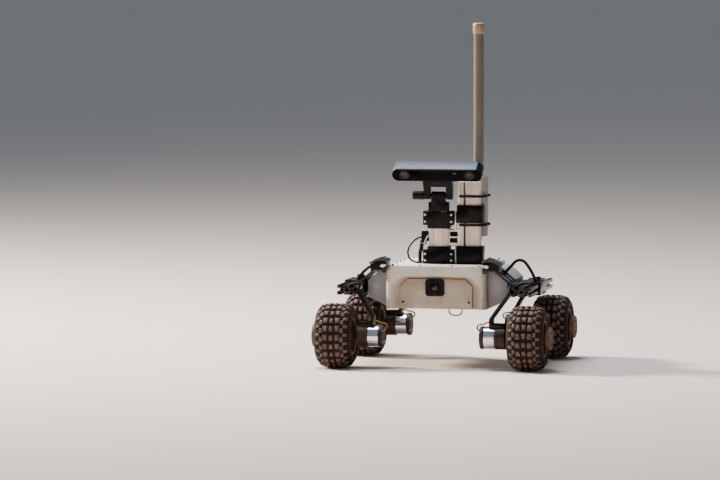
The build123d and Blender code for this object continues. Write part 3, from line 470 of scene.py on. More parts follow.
def rounded(width, depth, radius, x=0.0, y=0.0, steps=6):
    """Outline of a rectangle with round corners."""
    points = []
    for quarter, (sx, sy) in enumerate(((1, 1), (-1, 1), (-1, -1), (1, -1))):
        cx, cy = x + sx * (width / 2 - radius), y + sy * (depth / 2 - radius)
        for step in range(steps + 1):
            angle = (quarter + step / steps) * pi / 2
            points.append((cx + radius * cos(angle), cy + radius * sin(angle)))
    return points


def joined(name, parts, material):
    """One piece of several that have been made already."""
    whole = bmesh.new()
    for part in parts:
        whole.from_mesh(part.data)
        bpy.data.objects.remove(part)
    return piece(name, shaded(mesh_from(whole, name)), material)


def facing(direction, place):
    """Matrix that turns +X to a direction and moves the origin to a place."""
    turn = Vector((1, 0, 0)).rotation_difference(Vector(direction)).to_matrix().to_4x4()
    return Matrix.Translation(Vector(place)) @ turn


def upright(place):
    """Matrix that stands a flat outline up to face the front, and moves its origin to a place."""
    return Matrix.Translation(place) @ Matrix.Rotation(radians(90), 4, "X")


# What repeats

def socket(tree, name, kind, value=None):
    """Gives a node group a named input."""
    made = tree.interface.new_socket(name, in_out="INPUT", socket_type=kind)
    if value is not None:
        made.default_value = value
    return made


def put(modifier, tree, values):
    """Sets a modifier's named inputs by their identifiers."""
    for item in tree.interface.items_tree:
        if item.in_out == "INPUT" and item.name in values:
            modifier[item.identifier] = values[item.name]


def fastener_tree():
    """Puts one head on every point of a mesh, along its facing, each turned at random about its axis."""
    tree = bpy.data.node_groups.new("fasteners", "GeometryNodeTree")
    socket(tree, "Places", "NodeSocketGeometry")
    socket(tree, "Head", "NodeSocketObject")
    socket(tree, "Radius", "NodeSocketFloat", 0.002)
    socket(tree, "Seed", "NodeSocketInt", 11)
    socket(tree, "Finish", "NodeSocketMaterial")
    tree.interface.new_socket("Pieces", in_out="OUTPUT", socket_type="NodeSocketGeometry")
    given = add(tree, "NodeGroupInput").outputs
    head = add(tree, "GeometryNodeObjectInfo", {"Object": given["Head"]})
    way = add(tree, "GeometryNodeInputNamedAttribute", {"Name": "facing"}, data_type="FLOAT_VECTOR")
    aimed = add(tree, "FunctionNodeAlignRotationToVector", {"Vector": way.outputs["Attribute"]}, axis="Z")
    spin = add(tree, "FunctionNodeRandomValue", {"Max": TAU, "Seed": given["Seed"]}, data_type="FLOAT")
    about = add(tree, "ShaderNodeCombineXYZ", {"Z": spin.outputs["Value"]})
    turn = add(tree, "FunctionNodeEulerToRotation", {0: about.outputs[0]})
    pointed = add(tree, "FunctionNodeRotateRotation", {0: aimed.outputs[0], 1: turn.outputs[0]},
                  rotation_space="LOCAL")
    points = add(tree, "GeometryNodeMeshToPoints", {"Mesh": given["Places"]})
    heads = add(tree, "GeometryNodeInstanceOnPoints",
                {"Points": points.outputs[0], "Instance": head.outputs["Geometry"],
                                                       "Rotation": pointed.outputs[0],
                 "Scale": given["Radius"]})
    real = add(tree, "GeometryNodeRealizeInstances", {0: heads.outputs[0]})
    made = add(tree, "GeometryNodeSetMaterial", {"Geometry": real.outputs[0], "Material": given["Finish"]})
    add(tree, "NodeGroupOutput", {0: made.outputs[0]})
    return tree


def button_head():
    """A unit button head with a hexagonal socket, pointing along +Z."""
    work = bmesh.new()
    count = 12
    rings = [[work.verts.new((r * cos(TAU * i / count), r * sin(TAU * i / count), z)) for i in range(count)]
             for r, z in ((1.0, -0.1), (1.0, 0.22), (0.86, 0.5), (0.6, 0.62))]
    rings += [[work.verts.new((r * cos(TAU * i / 6), r * sin(TAU * i / 6), z)) for i in range(6)]
              for r, z in ((0.42, 0.6), (0.4, 0.2))]
    for one, two in zip(rings[:3], rings[1:4]):
        for i in range(count):
            work.faces.new((one[i], one[(i + 1) % count], two[(i + 1) % count], two[i]))
    for i in range(6):
        outer, inner, floor = rings[3], rings[4], rings[5]
        j = (i + 1) % 6
        work.faces.new((outer[2 * i], outer[2 * i + 1], inner[i]))
        work.faces.new((outer[2 * i + 1], outer[(2 * i + 2) % count], inner[j], inner[i]))
        work.faces.new((inner[i], inner[j], floor[j], floor[i]))
    work.faces.new(rings[5])
    bmesh.ops.recalc_face_normals(work, faces=work.faces)
    return linked("button_head", mesh_from(work, "button_head"))


FASTENERS = fastener_tree()
HEAD = button_head()


def screws(name, places, radius, material, body="chassis", slot="polished", seed=11):
    """One mesh of screw heads at (x, y, z, direction) places, in millimetres."""
    mesh = bpy.data.meshes.new(name)
    mesh.from_pydata([(x * MM, y * MM, z * MM) for x, y, z, way in places], [], [])
    ways = mesh.attributes.new("facing", "FLOAT_VECTOR", "POINT")
    for value, spot in zip(ways.data, places):
        value.vector = spot[3]
    obj = piece(name, mesh, None)
    modifier = obj.modifiers.new("fasteners", "NODES")
    modifier.node_group = FASTENERS
    put(modifier, FASTENERS, {"Head": HEAD, "Radius": radius * MM, "Seed": seed, "Finish": material})
    settle(obj, 50)
    return dress(obj, body, slot)


def screw_circle(x, axle, radius, count, way, start=0.0):
    """Places of screws in a circle round an axle, in the plane at x, facing one way along it."""
    angles = [TAU * (i + start) / count for i in range(count)]
    return [(x, axle.y + radius * cos(angle), axle.z + radius * sin(angle), (way, 0, 0)) for angle in angles]


# Tread columns: distance from the middle of the tyre, phase in rows, width where the knob leads,
# width where it trails, length round the tyre, drop below the crown, tilt in degrees
TREAD = (
    (0.0, 0.0, 8.4, 6.4, 9.8, 0.0, 0.0),
    (12.0, 0.03, 7.0, 9.6, 10.8, 0.2, 4.0),
    (21.4, -0.17, 6.8, 5.8, 9.0, 1.7, 16.0),
    (29.0, 0.33, 9.4, 8.6, 6.4, 4.4, 34.0),
)
ROWS = 22
CROWN_R = 64.6
KNOB_H = 5.4
KNOB_ROUND = 1.7
FOOT_WIDER, FOOT_LONGER = 1.22, 1.16      # a knob's foot, in shares of its top
TREAD_SEED = 5


def knob(name, lead, trail, length, tilt):
    """One tapered tread knob with rounded edges, pointing along +Z, in metres."""
    work = bmesh.new()
    low, high = [], []
    for x, y in ((-trail, -length), (trail, -length), (lead, length), (-lead, length)):
        low.append(work.verts.new((x / 2 * FOOT_WIDER, y / 2 * FOOT_LONGER, -KNOB_H)))
        high.append(work.verts.new((x / 2, y / 2, 0.0)))
    work.faces.new(high)
    for i in range(4):
        j = (i + 1) % 4
        work.faces.new((low[i], low[j], high[j], high[i]))
    edges = [e for e in work.edges if any(v.co.z > -0.5 for v in e.verts)]
    bmesh.ops.bevel(work, geom=edges, offset=KNOB_ROUND, segments=2, profile=0.5, affect="EDGES",
                    clamp_overlap=True)
    bmesh.ops.rotate(work, cent=(0, 0, 0), matrix=Matrix.Rotation(radians(tilt), 3, "Y"), verts=work.verts)
    bmesh.ops.scale(work, vec=(MM, MM, MM), verts=work.verts)
    bmesh.ops.recalc_face_normals(work, faces=work.faces)
    return linked(name, mesh_from(work, name))


def tread_tree():
    """Rows of knobs round the X axis, a column of them for each line of the tread table."""
    tree = bpy.data.node_groups.new("tread", "GeometryNodeTree")
    socket(tree, "Carcass", "NodeSocketGeometry")
    socket(tree, "Rows", "NodeSocketInt", ROWS)
    socket(tree, "Crown radius", "NodeSocketFloat", CROWN_R * MM)
    socket(tree, "Seed", "NodeSocketInt", TREAD_SEED)
    socket(tree, "Rubber", "NodeSocketMaterial")
    tree.interface.new_socket("Tyre", in_out="OUTPUT", socket_type="NodeSocketGeometry")
    given = add(tree, "NodeGroupInput").outputs
    pitch = add(tree, "ShaderNodeMath", {0: TAU, 1: given["Rows"]}, operation="DIVIDE").outputs[0]
    index = add(tree, "GeometryNodeInputIndex").outputs[0]
    whole = add(tree, "GeometryNodeJoinGeometry")
    tree.links.new(given["Carcass"], whole.inputs[0])
    for number, (across, phase, lead, trail, length, drop, tilt) in enumerate(TREAD):
        for side in (1,) if across == 0 else (1, -1):
            shape = knob(f"knob_{number}_{side}", lead, trail, length, side * tilt)
            source = add(tree, "GeometryNodeObjectInfo", {"Object": shape})
            jitter = add(tree, "FunctionNodeRandomValue", {"Min": -0.02, "Max": 0.02, "Seed": given["Seed"]},
                         data_type="FLOAT")
            row = add(tree, "ShaderNodeMath", {0: index, 1: phase}, operation="ADD").outputs[0]
            loose = add(tree, "ShaderNodeMath", {0: row, 1: jitter.outputs["Value"]},
                        operation="ADD").outputs[0]
            angle = add(tree, "ShaderNodeMath", {0: loose, 1: pitch}, operation="MULTIPLY").outputs[0]
            radius = add(tree, "ShaderNodeMath", {0: given["Crown radius"], 1: drop * MM},
                         operation="SUBTRACT").outputs[0]
            turn = add(tree, "ShaderNodeCombineXYZ", {"X": angle})
            out = add(tree, "ShaderNodeCombineXYZ", {"X": side * across * MM, "Z": radius})
            spot = add(tree, "ShaderNodeVectorRotate", {"Vector": out.outputs[0], "Angle": angle},
                       rotation_type="X_AXIS")
            line = add(tree, "GeometryNodePoints", {"Count": given["Rows"], "Position": spot.outputs[0]})
            knobs = add(tree, "GeometryNodeInstanceOnPoints",
                        {"Points": line.outputs[0], "Instance": source.outputs["Geometry"],
                                                               "Rotation": turn.outputs[0]})
            tree.links.new(knobs.outputs[0], whole.inputs[0])
    real = add(tree, "GeometryNodeRealizeInstances", {0: whole.outputs[0]})
    made = add(tree, "GeometryNodeSetMaterial", {"Geometry": real.outputs[0], "Material": given["Rubber"]})
    add(tree, "NodeGroupOutput", {0: made.outputs[0]})
    return tree


# Cords come first

def cord(node, name, route, diameter, material):
    """A free cord on one smooth spline through a route in millimetres, in place of its CAD tube."""
    curve = bpy.data.curves.new(name, "CURVE")
    curve.dimensions = "3D"
    curve.resolution_u = 16
    curve.bevel_depth = diameter / 2 * MM
    curve.bevel_resolution = 5
    curve.use_fill_caps = True
    spline = curve.splines.new("NURBS")
    spline.points.add(len(route) - 1)
    for point, spot in zip(spline.points, route):
        point.co = (*(Vector(spot) * MM), 1)
    spline.order_u = 3
    spline.use_endpoint_u = True
    curve.materials.append(material)
    obj = linked(name, curve)
    dress(obj, "chassis", "cable", node)


# Length and route of each loom, with distances to its own side, from its gland to its clip
LOOMS = {
    "left": (131.1, ((129.893, -39, 188.894), (138.716, -39, 198.442), (151, -39, 212.6), (166, -39, 212.2),
                     (177, -39, 197.5),
                     (184.2, -37.5, 184.5), (188.3, -31.5, 172), (187.5, -18.5, 171.3), (184.5, -6, 171.5),
                     (184, 8, 171.3))),
    "right": (98.0, ((129.893, -39, 188.894), (136.680, -39, 196.239), (147.7, -39, 196.5),
                     (160.5, -39, 185.5),
                     (169.5, -38, 176.3), (174.5, -31, 171.7), (176, -18.5, 171.3), (176.8, -5, 171.5),
                     (176.5, 8, 171.3))),
}
for name, side in SIDES:
    length, route = LOOMS[name]
    cord(f"loom_{name}", f"loom_{name}_conduit", [(side * x, y, z) for x, y, z in route], 6.0,
         conduit)
cord("power_lead", "power_lead_jacket", ((-39.5, -30, 248), (-39.5, -30, 240), (-47, -29.5, 229),
                                         (-47.5, -29, 216), (-47.3, -29, 203)),
     7.5, black_jacket)
cord("camera_cable", "camera_cable_jacket", (
    (-43.5, -34, 256), (-52.5, -34, 254), (-65.5, -34.5, 242), (-72.5, -35, 226), (-67.5, -36, 211),
    (-55.5, -37, 205.25), (-46.5, -37.5, 205.45), (-38.5, -37.5, 207.05),
), 3.5, black_jacket)
cord("underside_loop", "underside_wire", (
    (24, -96, 117), (24, -96, 111), (27, -96, 106.5), (32.5, -96, 103.9), (42, -96, 103.9),
    (47.5, -96, 106.5), (50.5, -96, 111), (50.5, -96, 117),
), 2.6, brown_wire)
AXLE_Y = 152.5
for corner in CORNERS:
    side = 1 if "left" in corner else -1
    y = AXLE_Y if "rear" in corner else -AXLE_Y
    cord(f"motor_lead_{corner}", f"motor_wire_{corner}", (
        (side * 98, y, 79), (side * 94, y, 79.4), (side * 91, y, 83.4), (side * 91.8, y, 88.4),
        (side * 96.5, y, 91.2), (side * 105, y, 91.6), (side * 112, y, 95.5), (side * 117, y, 95.5),
    ), 3.0, tan_sleeve)


# Wheels

TREAD_TREE = tread_tree()
# Section of the tyre, outer side first: distance along the axle, radius
CARCASS = (
    (-33.6, 38.0), (-34.0, 40.5), (-35.2, 43.4), (-36.9, 44.6), (-37.4, 46.2), (-37.2, 48.4), (-35.9, 51.6),
    (-33.0, 55.0),
    (-28.6, 57.8), (-22.0, 59.4), (-12.0, 60.1), (0.0, 60.3), (12.0, 60.1), (22.0, 59.4), (28.6, 57.8),
    (33.0, 55.0),
    (35.9, 51.6), (37.2, 48.4), (37.4, 46.2), (36.9, 44.6), (35.2, 43.4), (34.0, 40.5), (33.6, 38.0),
    (0.0, 38.0), (-33.6, 38.0),
)
# Rim and hub, from the inner side to the hub's face
WHEEL = (
    (-33.8, 4.2), (-28.0, 4.2), (-28.0, 11.0), (-6.0, 12.0), (-5.0, 14.0), (-5.0, 31.5), (-33.0, 32.2),
    (-33.9, 33.0),
    (-33.9, 37.4), (33.2, 37.4), (33.9, 36.8), (33.9, 32.8), (33.2, 32.2), (5.5, 31.6), (4.0, 30.4),
    (4.0, 17.0),
    (6.0, 15.4), (35.4, 15.0), (36.1, 15.4), (36.3, 21.4), (37.2, 22.6), (45.6, 22.9), (46.7, 22.5),
    (47.4, 21.2),
    (47.5, 17.4), (46.4, 16.6), (46.4, 9.0), (47.2, 8.2), (47.2, 0.0),
)
HUB_SCREWS_X = 46.3       # from the wheel's middle
HUB_SCREWS_R = 13.0
# Where the rubber is pale with dust, and darker below as painted shade: on the knobs' tops, and half as much on the
# outermost flanks
CROWN_CURVE = 0.0052      # drop of the crown for each square millimetre from the middle
CROWN_FLAT = 14.0         # half width of the middle, which drops by a share of that
CROWN_FLAT_SHARE = 0.3
PALE_DEPTH = 2.4           # how far below the crown the pale tone ends
PALE_FADE = 2.0            # over what height it comes to full
FLANK_FROM = 36.0         # distance from the middle where the flanks start
FLANK_PALE = 0.5
LEAST_PALE = 0.05
for corner in CORNERS:
    middle = span(f"tyre_{corner}")[2]
    side = 1 if "left" in corner else -1
    body = f"wheel_{corner}"
    outward = facing((side, 0, 0), middle)
    tyre = turned_piece(f"tyre_{corner}_knobbly", [(CARCASS, Matrix.Identity(4))], rubber, 40, 88)
    modifier = tyre.modifiers.new("tread", "NODES")
    modifier.node_group = TREAD_TREE
    put(modifier, TREAD_TREE, {"Rows": ROWS, "Crown radius": CROWN_R * MM, "Seed": TREAD_SEED,
                               "Rubber": rubber})
    settle(tyre, 38)
    tyre.data.transform(Matrix.Scale(MM, 4) @ outward @ Matrix.Scale(1 / MM, 4))
    # Pale near the crown, as dust, and darker deeper down as painted shade
    dust_and_shade = tyre.data.attributes.new("crown_dust_and_shade", "FLOAT", "POINT")
    axle = middle * MM
    for vertex, value in zip(tyre.data.vertices, dust_and_shade.data):
        reach = ((vertex.co.y - axle.y) ** 2 + (vertex.co.z - axle.z) ** 2) ** 0.5 / MM
        outer = abs(vertex.co.x - axle.x) / MM
        crown = CROWN_R - CROWN_CURVE * outer ** 2 * (1 if outer > CROWN_FLAT else CROWN_FLAT_SHARE)
        least = FLANK_PALE if outer > FLANK_FROM else LEAST_PALE
        value.value = max(least, min(1.0, (reach - crown + PALE_DEPTH) / PALE_FADE))
    dress(tyre, body, "tyre", f"tyre_{corner}")
    hub = turned_piece(f"hub_{corner}_casting", [(WHEEL, outward)], soiled_hub, 32, 72)
    dress(hub, body, "rim", f"rim_{corner}")
    screws(f"hub_screws_{corner}", screw_circle(middle.x + side * HUB_SCREWS_X, middle, HUB_SCREWS_R, 6,
                                                side),
           2.2, black_steel, body, "rim", 3)


# Motors

# Distance from the motor's inner end, radius
END_CAP = ((0.3, 0.0), (0.3, 6.0), (0.0, 6.4), (0.0, 8.6), (0.8, 9.0), (0.9, 19.0), (0.1, 19.8), (0.1, 22.0),
           (1.0, 22.9),
           (6.8, 22.9), (7.8, 22.2), (8.0, 20.2), (30.0, 20.2))
GEARBOX = ((30.0, 20.0), (30.0, 22.6), (31.0, 23.4), (36.6, 23.4), (37.2, 22.7), (38.2, 22.7), (38.8, 23.4),
           (50.8, 23.4),
           (51.8, 22.6), (52.0, 12.0), (55.0, 11.2), (55.4, 4.0), (56.0, 3.95), (122.0, 3.95), (122.0, 0.0))
SLEEVE = ((8.0, 20.3), (8.0, 21.4), (8.5, 21.9), (29.5, 21.9), (30.0, 21.4), (30.0, 20.3))
MOTOR_X = 98.0            # the motors' inner ends, from the rover's middle
CAP_SCREWS_IN, CAP_SCREWS_R = 0.7, 16.5       # distance from the motor's inner end, circle
BOX_SCREWS_IN, BOX_SCREWS_R = 51.8, 17.5
caps, boxes, sleeves, cap_screws, box_screws = [], [], [], [], []
for corner in CORNERS:
    side = 1 if "left" in corner else -1
    middle = span(f"rim_{corner}")[2]
    outward = facing((side, 0, 0), (side * MOTOR_X, middle.y, middle.z))
    caps.append((END_CAP, outward))
    boxes.append((GEARBOX, outward))
    sleeves.append((SLEEVE, outward))
    cap_screws += screw_circle(side * MOTOR_X + side * CAP_SCREWS_IN, middle, CAP_SCREWS_R, 4, -side, 0.5)
    box_screws += screw_circle(side * MOTOR_X + side * BOX_SCREWS_IN, middle, BOX_SCREWS_R, 6, side)
dress(turned_piece("motor_castings", caps + boxes, soiled_casting, 32, 56), "chassis", "motor", "motors")
dress(turned_piece("motor_sleeves", sleeves, polished_steel, 40, 72), "chassis", "polished", "motor_bands")
screws("motor_cap_screws", cap_screws, 1.7, zinc_steel, seed=21)
screws("gearbox_screws", box_screws, 1.7, black_steel, seed=22)


# Rocker bars, legs, saddles and wings

CORE_BORE_R = 2.1


def slot_walk(mouth=6.0, lip=1.8, cavity=10.6, floor=5.4, depth=5.8):
    """Path of one T-slot into an edge that runs along +X, with the material below it."""
    return ((-mouth / 2, 0), (-mouth / 2, -lip), (-cavity / 2, -lip), (-cavity / 2, -lip - 1.0),
            (-floor / 2, -depth),
            (floor / 2, -depth), (cavity / 2, -lip - 1.0), (cavity / 2, -lip), (mouth / 2, -lip),
            (mouth / 2, 0))


def extrusion_section(width=40.0, depth=20.0, corner=1.0):
    """Outlines of a twin T-slot extrusion: the outside, two core bores and the middle hollow."""
    points = []
    # middle of the edge, direction along it, slots on it
    edges = (((0, -depth / 2), 0, (-width / 4, width / 4), width), ((width / 2, 0), 90, (0,), depth),
             ((0, depth / 2), 180, (-width / 4, width / 4), width), ((-width / 2, 0), 270, (0,), depth))
    for (cx, cy), turn, places, run in edges:
        c, s = cos(radians(turn)), sin(radians(turn))
        local = [(-run / 2 + corner, 0)]
        for at in places:
            local += [(at + u, -v) for u, v in slot_walk()]
        local.append((run / 2 - corner, 0))
        points += [(cx + c * u - s * v, cy + s * u + c * v) for u, v in local]
    bores = [ring(CORE_BORE_R, side * width / 4, 0, 16) for side in (-1, 1)]
    return [points, *bores, rounded(6.0, 4.6, 0.8, 0, 0, 2)]


SECTION = extrusion_section()
MAST_SECTION = extrusion_section(corner=2.4)
for name, side in SIDES:
    low, high, middle = span(f"rocker_bar_{name}")
    bar = outlined(f"rocker_bar_{name}_slotted", SECTION, high.y - low.y, upright(middle), black_anodised,
                   0.25)
    dress(bar, "chassis", "bar", f"rocker_bar_{name}")
soften("legs", "leg_plates", black_coat, 0.8, slot="black_metal")
# Pan heads on the legs' seats, where the legs wrap the ends of the bars
LEG_BOLT_X, LEG_BOLT_Z = 150.6, 158.6
LEG_BOLT_Y = (112.0, 128.0)
screws("leg_bolts", [(side * LEG_BOLT_X, sy * y, LEG_BOLT_Z, (-side, 0, 0)) for side in (1, -1)
                     for sy in (-1, 1) for y in LEG_BOLT_Y],
       2.8, zinc_steel, seed=51)
soften("saddles", "saddle_plates", black_gloss, 0.6, slot="black_metal")
soften("pivots", "pivot_blocks", black_coat, 0.8, slot="black_metal")
for name, side in SIDES:
    soften(f"wing_{name}", f"wing_{name}_plate", black_gloss, 0.5, slot="black_metal")
    soften(f"side_pod_{name}", f"side_pod_{name}_shell", pod_paint, 1.6, 3, slot="shell")
# Stays that clamp the wings at the deck's edges: a black block under a blue-grey bent cap, with a bright clip in front
STAY = ((102.9, 197.6), (102.9, 203.5), (97.5, 203.5), (97.5, 210.4), (103.0, 213.6), (118.0, 212.2),
        (130.0, 206.2),
        (130.0, 192.1), (123.2, 197.8))
STAY_ENDS = (-128.0, -88.0)
CAP = ((96.0, 210.6), (103.0, 214.2), (118.2, 212.8), (131.6, 206.2), (132.6, 209.8), (119.0, 217.6),
       (110.0, 218.6), (108.6, 220.8),
       (106.0, 221.0), (104.6, 219.2), (98.0, 217.6), (94.6, 213.6))
CAP_ENDS = (-129.0, -90.0)
CLIP = ((98.0, 203.8), (99.0, 207.4), (107.0, 207.2), (110.5, 203.6), (108.0, 200.8), (104.0, 200.8))
CLIP_ENDS = (-130.6, -128.2)
for name, outline, ends, material in (("wing_stay_blocks", STAY, STAY_ENDS, black_coat),
                                      ("wing_stay_caps", CAP, CAP_ENDS, blasted_aluminium),
                                      ("wing_stay_clips", CLIP, CLIP_ENDS, bright_aluminium)):
    across = upright((0, sum(ends) / 2, 0))
    parts = [outlined(f"{name}_{side}", [[(side * x, z) for x, z in outline]], ends[1] - ends[0], across,
                      material, 0.4) for side in (1, -1)]
    dress(joined(name, parts, material), "chassis", "polished")
screws("wing_stay_screws", [(side * 114.0, y, 218.0, (side * 0.1, 0, 1)) for side in (1, -1)
                            for y in (-121.0, -98.0)], 2.6, black_steel, seed=52)


# Body

soften("body_shell", "body_cover", shell_paint, 2.6, 4, slot="shell")
soften("front_panel", "front_hatch", hatch_paint_and_shade, 0.7, slot="shell")
soften("battery_box", "rear_box", black_nylon, 1.6, 3, slot="black_plastic")
low, high, middle = span("top_plate")
DECK_CORNER_R = 11.0
DECK_HOLE_R, DECK_HOLE_X, DECK_HOLE_Y = 2.5, 80, 100      # radius, places from the deck's middle
DECK_SCREW_EDGE = 6.0     # the screws' distance from the deck's edge
deck_holes = [ring(DECK_HOLE_R, middle.x + sx * DECK_HOLE_X, middle.y + sy * DECK_HOLE_Y) for sx in (-1, 1)
              for sy in (-1, 1)]
deck = outlined("deck_plate", [rounded(high.x - low.x, high.y - low.y, DECK_CORNER_R, middle.x,
                                       middle.y)] + deck_holes,
                high.z - low.z, Matrix.Translation((0, 0, middle.z)), deck_coat, 0.3)
dress(deck, "chassis", "shell", "top_plate")
edge_x = high.x - DECK_SCREW_EDGE
deck_screws = [(sx * edge_x, y, high.z, (0, 0, 1)) for sx in (-1, 1) for y in (-84, -40, 4, 48, 92)]
deck_screws += [(x, y, high.z, (0, 0, 1)) for x in (-88, -32, 32, 88)
                for y in (low.y + DECK_SCREW_EDGE, high.y - DECK_SCREW_EDGE)]
screws("deck_screws", deck_screws, 2.7, black_steel, seed=31)

low, high, middle = span("front_camera")
bezel = outlined("camera_bezel", [rounded(high.x - low.x, high.z - low.z, 6.0), ring(12.2, 0, 0, 40)],
                 high.y - low.y,
                 upright(middle), black_nylon, 0.6)
dress(bezel, "chassis", "black_plastic", "front_camera")
# Distance in front of the bezel's back, radius
BARREL = ((0.4, 0.0), (0.4, 12.1), (4.6, 12.1), (5.4, 11.6), (5.6, 10.4), (4.2, 9.8), (4.0, 8.9), (9.0, 8.9),
          (9.4, 8.5), (9.4, 8.0),
          (7.2, 7.5), (6.6, 7.3))
GLASS = ((6.4, 7.4), (7.2, 6.3), (7.9, 4.5), (8.3, 2.2), (8.4, 0.0))
lens_place = facing((0, -1, 0), (middle.x, high.y, middle.z))
dress(turned_piece("camera_barrel", [(BARREL, lens_place)], lens_trim, 32, 48), "chassis", "lens",
      "front_lens")
dress(turned_piece("camera_glass", [(GLASS, lens_place)], lens_glass, 60, 40), "chassis", "lens")
low, high = span("front_panel")[:2]


def hatch_edge(out):
    """The front hatch's outline, let out by a distance."""
    return [(-73.5 - out, 119.2), (-73.5 - out, 162.0 + 0.4 * out), (-57.5 - 0.4 * out, 177.0 + out),
            (57.5 + 0.4 * out, 177.0 + out), (73.5 + out, 162.0 + 0.4 * out), (73.5 + out, 119.2)]


# A dark brown ring round the hatch's edge paints the shadow in its gap
gap_back = upright((0, high.y - 0.3, 0))
dress(outlined("hatch_gap", [hatch_edge(1.1), hatch_edge(0.0)], 0.5, gap_back, painted_gap_shadow, 0.05), "chassis",
      "shell")
screws("hatch_screws", [(sx * 67.0, low.y + 1.9, 131.0, (0, -1, 0.2)) for sx in (-1, 1)], 2.3, black_steel,
       seed=33)


# Mast

for name in ("camera", "radio"):
    low, high, middle = span(f"column_{name}")
    column = outlined(f"column_{name}_slotted", MAST_SECTION, high.z - low.z, Matrix.Translation(middle),
                      silver_anodised, 0.25)
    dress(column, "chassis", "extrusion", f"column_{name}")
soften("clamps_base", "base_clamp_plates", black_coat, 0.8, slot="black_metal")
soften("clamps_top", "top_clamp_plates", black_coat, 0.8, slot="black_metal")
# Finely ribbed covers in the front slots, flush with the lands: (middle X, low Z, high Z)
COVERS = ((-17.5, 203.0, 309.0), (2.5, 203.0, 309.0), (66.5, 203.0, 368.0))
RIBS = 3
cover_outline = [(-2.9, -0.9), (2.9, -0.9)] + [(2.9 - 5.8 * i / (2 * RIBS), -0.1 - 0.45 * (i % 2))
                                               for i in range(2 * RIBS + 1)]
cover_parts = []
for number, (x, z0, z1) in enumerate(COVERS):
    place = Matrix.Translation((x, -39.9, (z0 + z1) / 2)) @ Matrix.Rotation(radians(180), 4, "Z")
    cover_parts.append(outlined(f"cover_{number}", [cover_outline], z1 - z0, place, silver_anodised, 0.02))
dress(joined("slot_covers", cover_parts, silver_anodised), "chassis", "extrusion")
# Black strip in the open slot of the radio column: painted shadow inside the slot
SLOT_SHADOW_PLACE, SLOT_SHADOW_LENGTH = (44.7, -38.9, 285.5), 165.0
slot_shadow = outlined("slot_gasket", [rounded(2.0, 2.0, 0.3)], SLOT_SHADOW_LENGTH, Matrix.Translation(SLOT_SHADOW_PLACE),
                  black_nylon, 0.1)
dress(slot_shadow, "chassis", "black_plastic")
# Black plate behind the ladder bracket's windows
BACKING_PLACE = (24.5, -24.9, 256.2)
backing = outlined("ladder_backing", [rounded(21.0, 30.0, 1.0)], 1.2, upright(BACKING_PLACE), black_coat,
                   0.2)
dress(backing, "chassis", "black_metal")
soften("mast_link", "ladder_bracket", bright_aluminium, 0.6, slot="polished")
# Thin shim that shows above the top clamp
SHIM_PLACE = (3.8, -45.3, 308.2)
shim = outlined("clamp_shim", [rounded(12.0, 1.8, 0.5)], 0.8, upright(SHIM_PLACE), soiled_hub, 0.2)
dress(shim, "chassis", "polished")
soften("neck", "neck_block", black_nylon, 1.0, slot="black_plastic")
soften("tilt_cradle", "tilt_yoke", black_nylon, 1.0, body="camera_head", slot="black_plastic")
clamp_front = span("clamps_base")[0].y
CLAMP_SCREW_X = (-34.1, 19.1)
CLAMP_SCREW_Z = (210.0, 223.0, 288.0, 302.0)
screws("clamp_screws", [(x, clamp_front, z, (0, -1, 0)) for x in CLAMP_SCREW_X for z in CLAMP_SCREW_Z],
       2.7, zinc_steel, seed=41)

low, _, middle = span("tilt_pin")
# Distance from the knob's outer end, radius
PIN = ((23.4, 0.0), (23.4, 2.95), (81.5, 2.95), (81.5, 0.0))
KNOB_CAP = ((0.0, 0.0), (0.0, 6.6), (1.0, 8.2), (2.4, 8.8), (13.0, 8.8), (13.8, 8.2), (14.6, 8.2),
            (15.4, 8.8), (22.0, 8.8),
            (23.4, 7.6), (23.4, 0.0))
pin_place = facing((1, 0, 0), (low.x, middle.y, middle.z))
dress(turned_piece("tilt_knob", [(PIN, pin_place), (KNOB_CAP, pin_place)], black_nylon, 32, 40),
      "camera_head", "black_plastic", "tilt_pin")


# Stereo camera

TILT = radians(30.0)
forward = Vector((0, -cos(TILT), -sin(TILT)))
upward = Vector((0, -sin(TILT), cos(TILT)))
face_middle = span("stereo_face")[2]
housing_middle = span("stereo_housing")[2]
aim = Matrix((Vector((1, 0, 0)), upward, forward)).transposed().to_4x4()
EYES_W, EYES_H = 182.0, 27.5
case = outlined("stereo_case", [rounded(EYES_W, EYES_H, EYES_H / 2 - 0.5, steps=12)], 30.0,
                Matrix.Translation(housing_middle) @ aim, blasted_aluminium, 0.8)
dress(case, "camera_head", "housing", "stereo_housing")
EYE_X = 66.0              # from the housing's middle
EYE_RING_R = 10.6
RANGE_LAMP = (36.0, 4.0)
# The right end of the housing is covered in dark blue as painted shade and painted sky reflection; the left end stays
# bare
END_SHADE_X = 81.0
end = sorted([spot for spot in rounded(EYES_W + 0.3, EYES_H + 0.3, EYES_H / 2 - 0.4,
                                       steps=12) if spot[0] > END_SHADE_X], key=lambda spot: spot[1])
end_shade_outline = [(END_SHADE_X, end[0][1])] + end + [(END_SHADE_X, end[-1][1])]
dress(outlined("stereo_end_cap", [end_shade_outline], 29.4, Matrix.Translation(housing_middle) @ aim, end_shade_paint,
               0.6), "camera_head", "housing")
window = outlined("stereo_window", [rounded(EYES_W - 0.6, EYES_H - 0.6, EYES_H / 2 - 0.8, steps=12),
                                    ring(EYE_RING_R, -EYE_X, 0, 40),
                                    ring(EYE_RING_R, EYE_X, 0, 40), rounded(8.0, 3.0, 1.4, *RANGE_LAMP)],
                  3.0, Matrix.Translation(face_middle) @ aim, gloss_window, 0.5)
dress(window, "camera_head", "face", "stereo_face")
